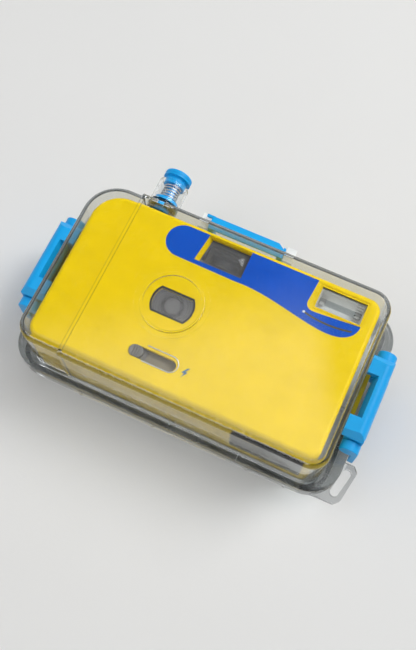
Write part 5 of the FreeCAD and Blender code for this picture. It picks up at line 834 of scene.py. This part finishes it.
def add_world():
    """Even light from all round, and a pale backdrop that is darker overhead, most of all in reflections."""
    world = bpy.data.worlds.new("studio")
    bpy.context.scene.world = world
    world.use_nodes = True
    tree = world.node_tree
    tree.nodes.clear()
    make = tree.nodes.new
    join = tree.links.new
    direction = make("ShaderNodeTexCoord")
    split = make("ShaderNodeSeparateXYZ")
    join(direction.outputs["Generated"], split.inputs["Vector"])
    backgrounds = [("lit", None), ("mirrored", OVERHEAD_MIRRORED), ("seen", OVERHEAD_SEEN)]
    shown = {}
    for name, overhead in backgrounds:
        shown[name] = make("ShaderNodeBackground")
        if overhead is None:
            shown[name].inputs["Strength"].default_value = WORLD_LIGHT
            continue
        tone = make("ShaderNodeMapRange")
        tone.inputs["From Max"].default_value = OVERHEAD_FROM
        tone.inputs["To Min"].default_value = HORIZON_TONE
        tone.inputs["To Max"].default_value = overhead
        join(split.outputs["Z"], tone.inputs["Value"])
        join(tone.outputs["Result"], shown[name].inputs["Strength"])
    path = make("ShaderNodeLightPath")
    either = make("ShaderNodeMath")
    either.operation = "MAXIMUM"
    join(path.outputs["Is Camera Ray"], either.inputs[0])
    join(path.outputs["Is Transmission Ray"], either.inputs[1])
    glossy = make("ShaderNodeMixShader")
    join(path.outputs["Is Glossy Ray"], glossy.inputs["Fac"])
    join(shown["lit"].outputs[0], glossy.inputs[1])
    join(shown["mirrored"].outputs[0], glossy.inputs[2])
    both = make("ShaderNodeMixShader")
    join(either.outputs[0], both.inputs["Fac"])
    join(glossy.outputs[0], both.inputs[1])
    join(shown["seen"].outputs[0], both.inputs[2])
    output = make("ShaderNodeOutputWorld")
    join(both.outputs[0], output.inputs["Surface"])


def add_lamp(name, place, size, radiance, glossy=True):
    """A soft rectangular lamp aimed at the object, given by how bright its face is."""
    lamp = bpy.data.lights.new(name, "AREA")
    lamp.shape = "RECTANGLE"
    lamp.size, lamp.size_y = size
    lamp.energy = radiance * math.pi * size[0] * size[1]
    thing = bpy.data.objects.new(name, lamp)
    bpy.context.scene.collection.objects.link(thing)
    thing.location = place
    away = Vector(place) - Vector(LAMP_AIM)
    thing.rotation_euler = away.to_track_quat("Z", "Y").to_euler()
    thing.visible_camera = False
    thing.visible_glossy = glossy
    return thing


def show_in_gloss_only(lamp):
    """Keeps a lamp for highlights, so that it doesn't light the object."""
    lamp.visible_diffuse = False
    lamp.visible_transmission = False


def soften_lamp(lamp, fade):
    """Fades a lamp's face out towards its edges."""
    lamp.use_nodes = True
    tree = lamp.node_tree
    tree.nodes.clear()
    make = tree.nodes.new
    join = tree.links.new
    face = make("ShaderNodeNewGeometry")
    split = make("ShaderNodeSeparateXYZ")
    join(face.outputs["Parametric"], split.inputs["Vector"])
    shares = []
    for axis, edge in zip(("X", "Y"), fade):
        away = make("ShaderNodeMath")
        away.operation = "SUBTRACT"
        join(split.outputs[axis], away.inputs[0])
        away.inputs[1].default_value = FACE_MIDDLE
        size = make("ShaderNodeMath")
        size.operation = "ABSOLUTE"
        join(away.outputs[0], size.inputs[0])
        ramp = make("ShaderNodeMapRange")
        ramp.interpolation_type = "SMOOTHSTEP"
        ramp.inputs["From Min"].default_value = FACE_MIDDLE
        ramp.inputs["From Max"].default_value = FACE_MIDDLE - edge
        join(size.outputs[0], ramp.inputs["Value"])
        shares.append(ramp.outputs["Result"])
    product = make("ShaderNodeMath")
    product.operation = "MULTIPLY"
    join(shares[0], product.inputs[0])
    join(shares[1], product.inputs[1])
    light = make("ShaderNodeEmission")
    join(product.outputs[0], light.inputs["Strength"])
    output = make("ShaderNodeOutputLight")
    join(light.outputs[0], output.inputs["Surface"])


def add_lamps():
    """Two lamps that light the object, and three whose faces show in its gloss."""
    add_lamp("key", KEY_AT, KEY_SIZE, KEY_LEVEL, glossy=False)
    show_in_gloss_only(add_lamp("gleam", KEY_AT, GLEAM_SIZE, GLEAM_LEVEL))
    add_lamp("fill", FILL_AT, FILL_SIZE, FILL_LEVEL, glossy=False)
    soften_lamp(add_lamp("veil", VEIL_AT, VEIL_SIZE, VEIL_LEVEL).data, VEIL_FADE)
    show_in_gloss_only(add_lamp("edge", EDGE_AT, EDGE_SIZE, EDGE_LEVEL))


def add_camera():
    """The camera that took the photograph's view."""
    turn = math.radians(CAMERA_TURN)
    rise = math.radians(CAMERA_RISE)
    roll = math.radians(CAMERA_ROLL)
    back = Vector((math.sin(turn) * math.cos(rise), -math.cos(turn) * math.cos(rise), math.sin(rise)))
    right = Vector((0, 0, 1)).cross(back).normalized()
    up = back.cross(right)
    across = right * math.cos(roll) + up * math.sin(roll)
    upward = up * math.cos(roll) - right * math.sin(roll)
    camera = bpy.data.cameras.new("photo_camera")
    camera.sensor_fit = "AUTO"
    camera.sensor_width = SENSOR
    camera.lens = CAMERA_LENS
    camera.clip_start = CAMERA_NEAR
    thing = bpy.data.objects.new("photo_camera", camera)
    bpy.context.scene.collection.objects.link(thing)
    turned = Matrix((across, upward, back)).transposed().to_4x4()
    thing.matrix_world = Matrix.Translation(Vector(CAMERA_AT) * MM) @ turned
    bpy.context.scene.camera = thing


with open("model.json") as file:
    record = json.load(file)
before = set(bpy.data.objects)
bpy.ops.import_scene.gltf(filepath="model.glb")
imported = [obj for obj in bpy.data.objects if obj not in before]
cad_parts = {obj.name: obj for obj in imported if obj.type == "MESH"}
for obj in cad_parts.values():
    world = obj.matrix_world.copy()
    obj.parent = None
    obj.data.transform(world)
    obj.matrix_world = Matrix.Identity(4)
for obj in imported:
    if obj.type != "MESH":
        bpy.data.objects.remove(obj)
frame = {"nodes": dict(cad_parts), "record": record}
cad_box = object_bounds()
looks = dress_nodes(frame)
add_finder_mask(looks)
add_finder_baffles(looks)
add_switch_trim(looks)
add_accent_dot(looks)
add_tube_caps(looks)
add_flash_ribs(looks)
add_plunger_coil(frame, looks)
add_floor(cad_box[0][2])
add_world()
add_lamps()
add_camera()
bpy.context.scene.view_settings.view_transform = "Standard"
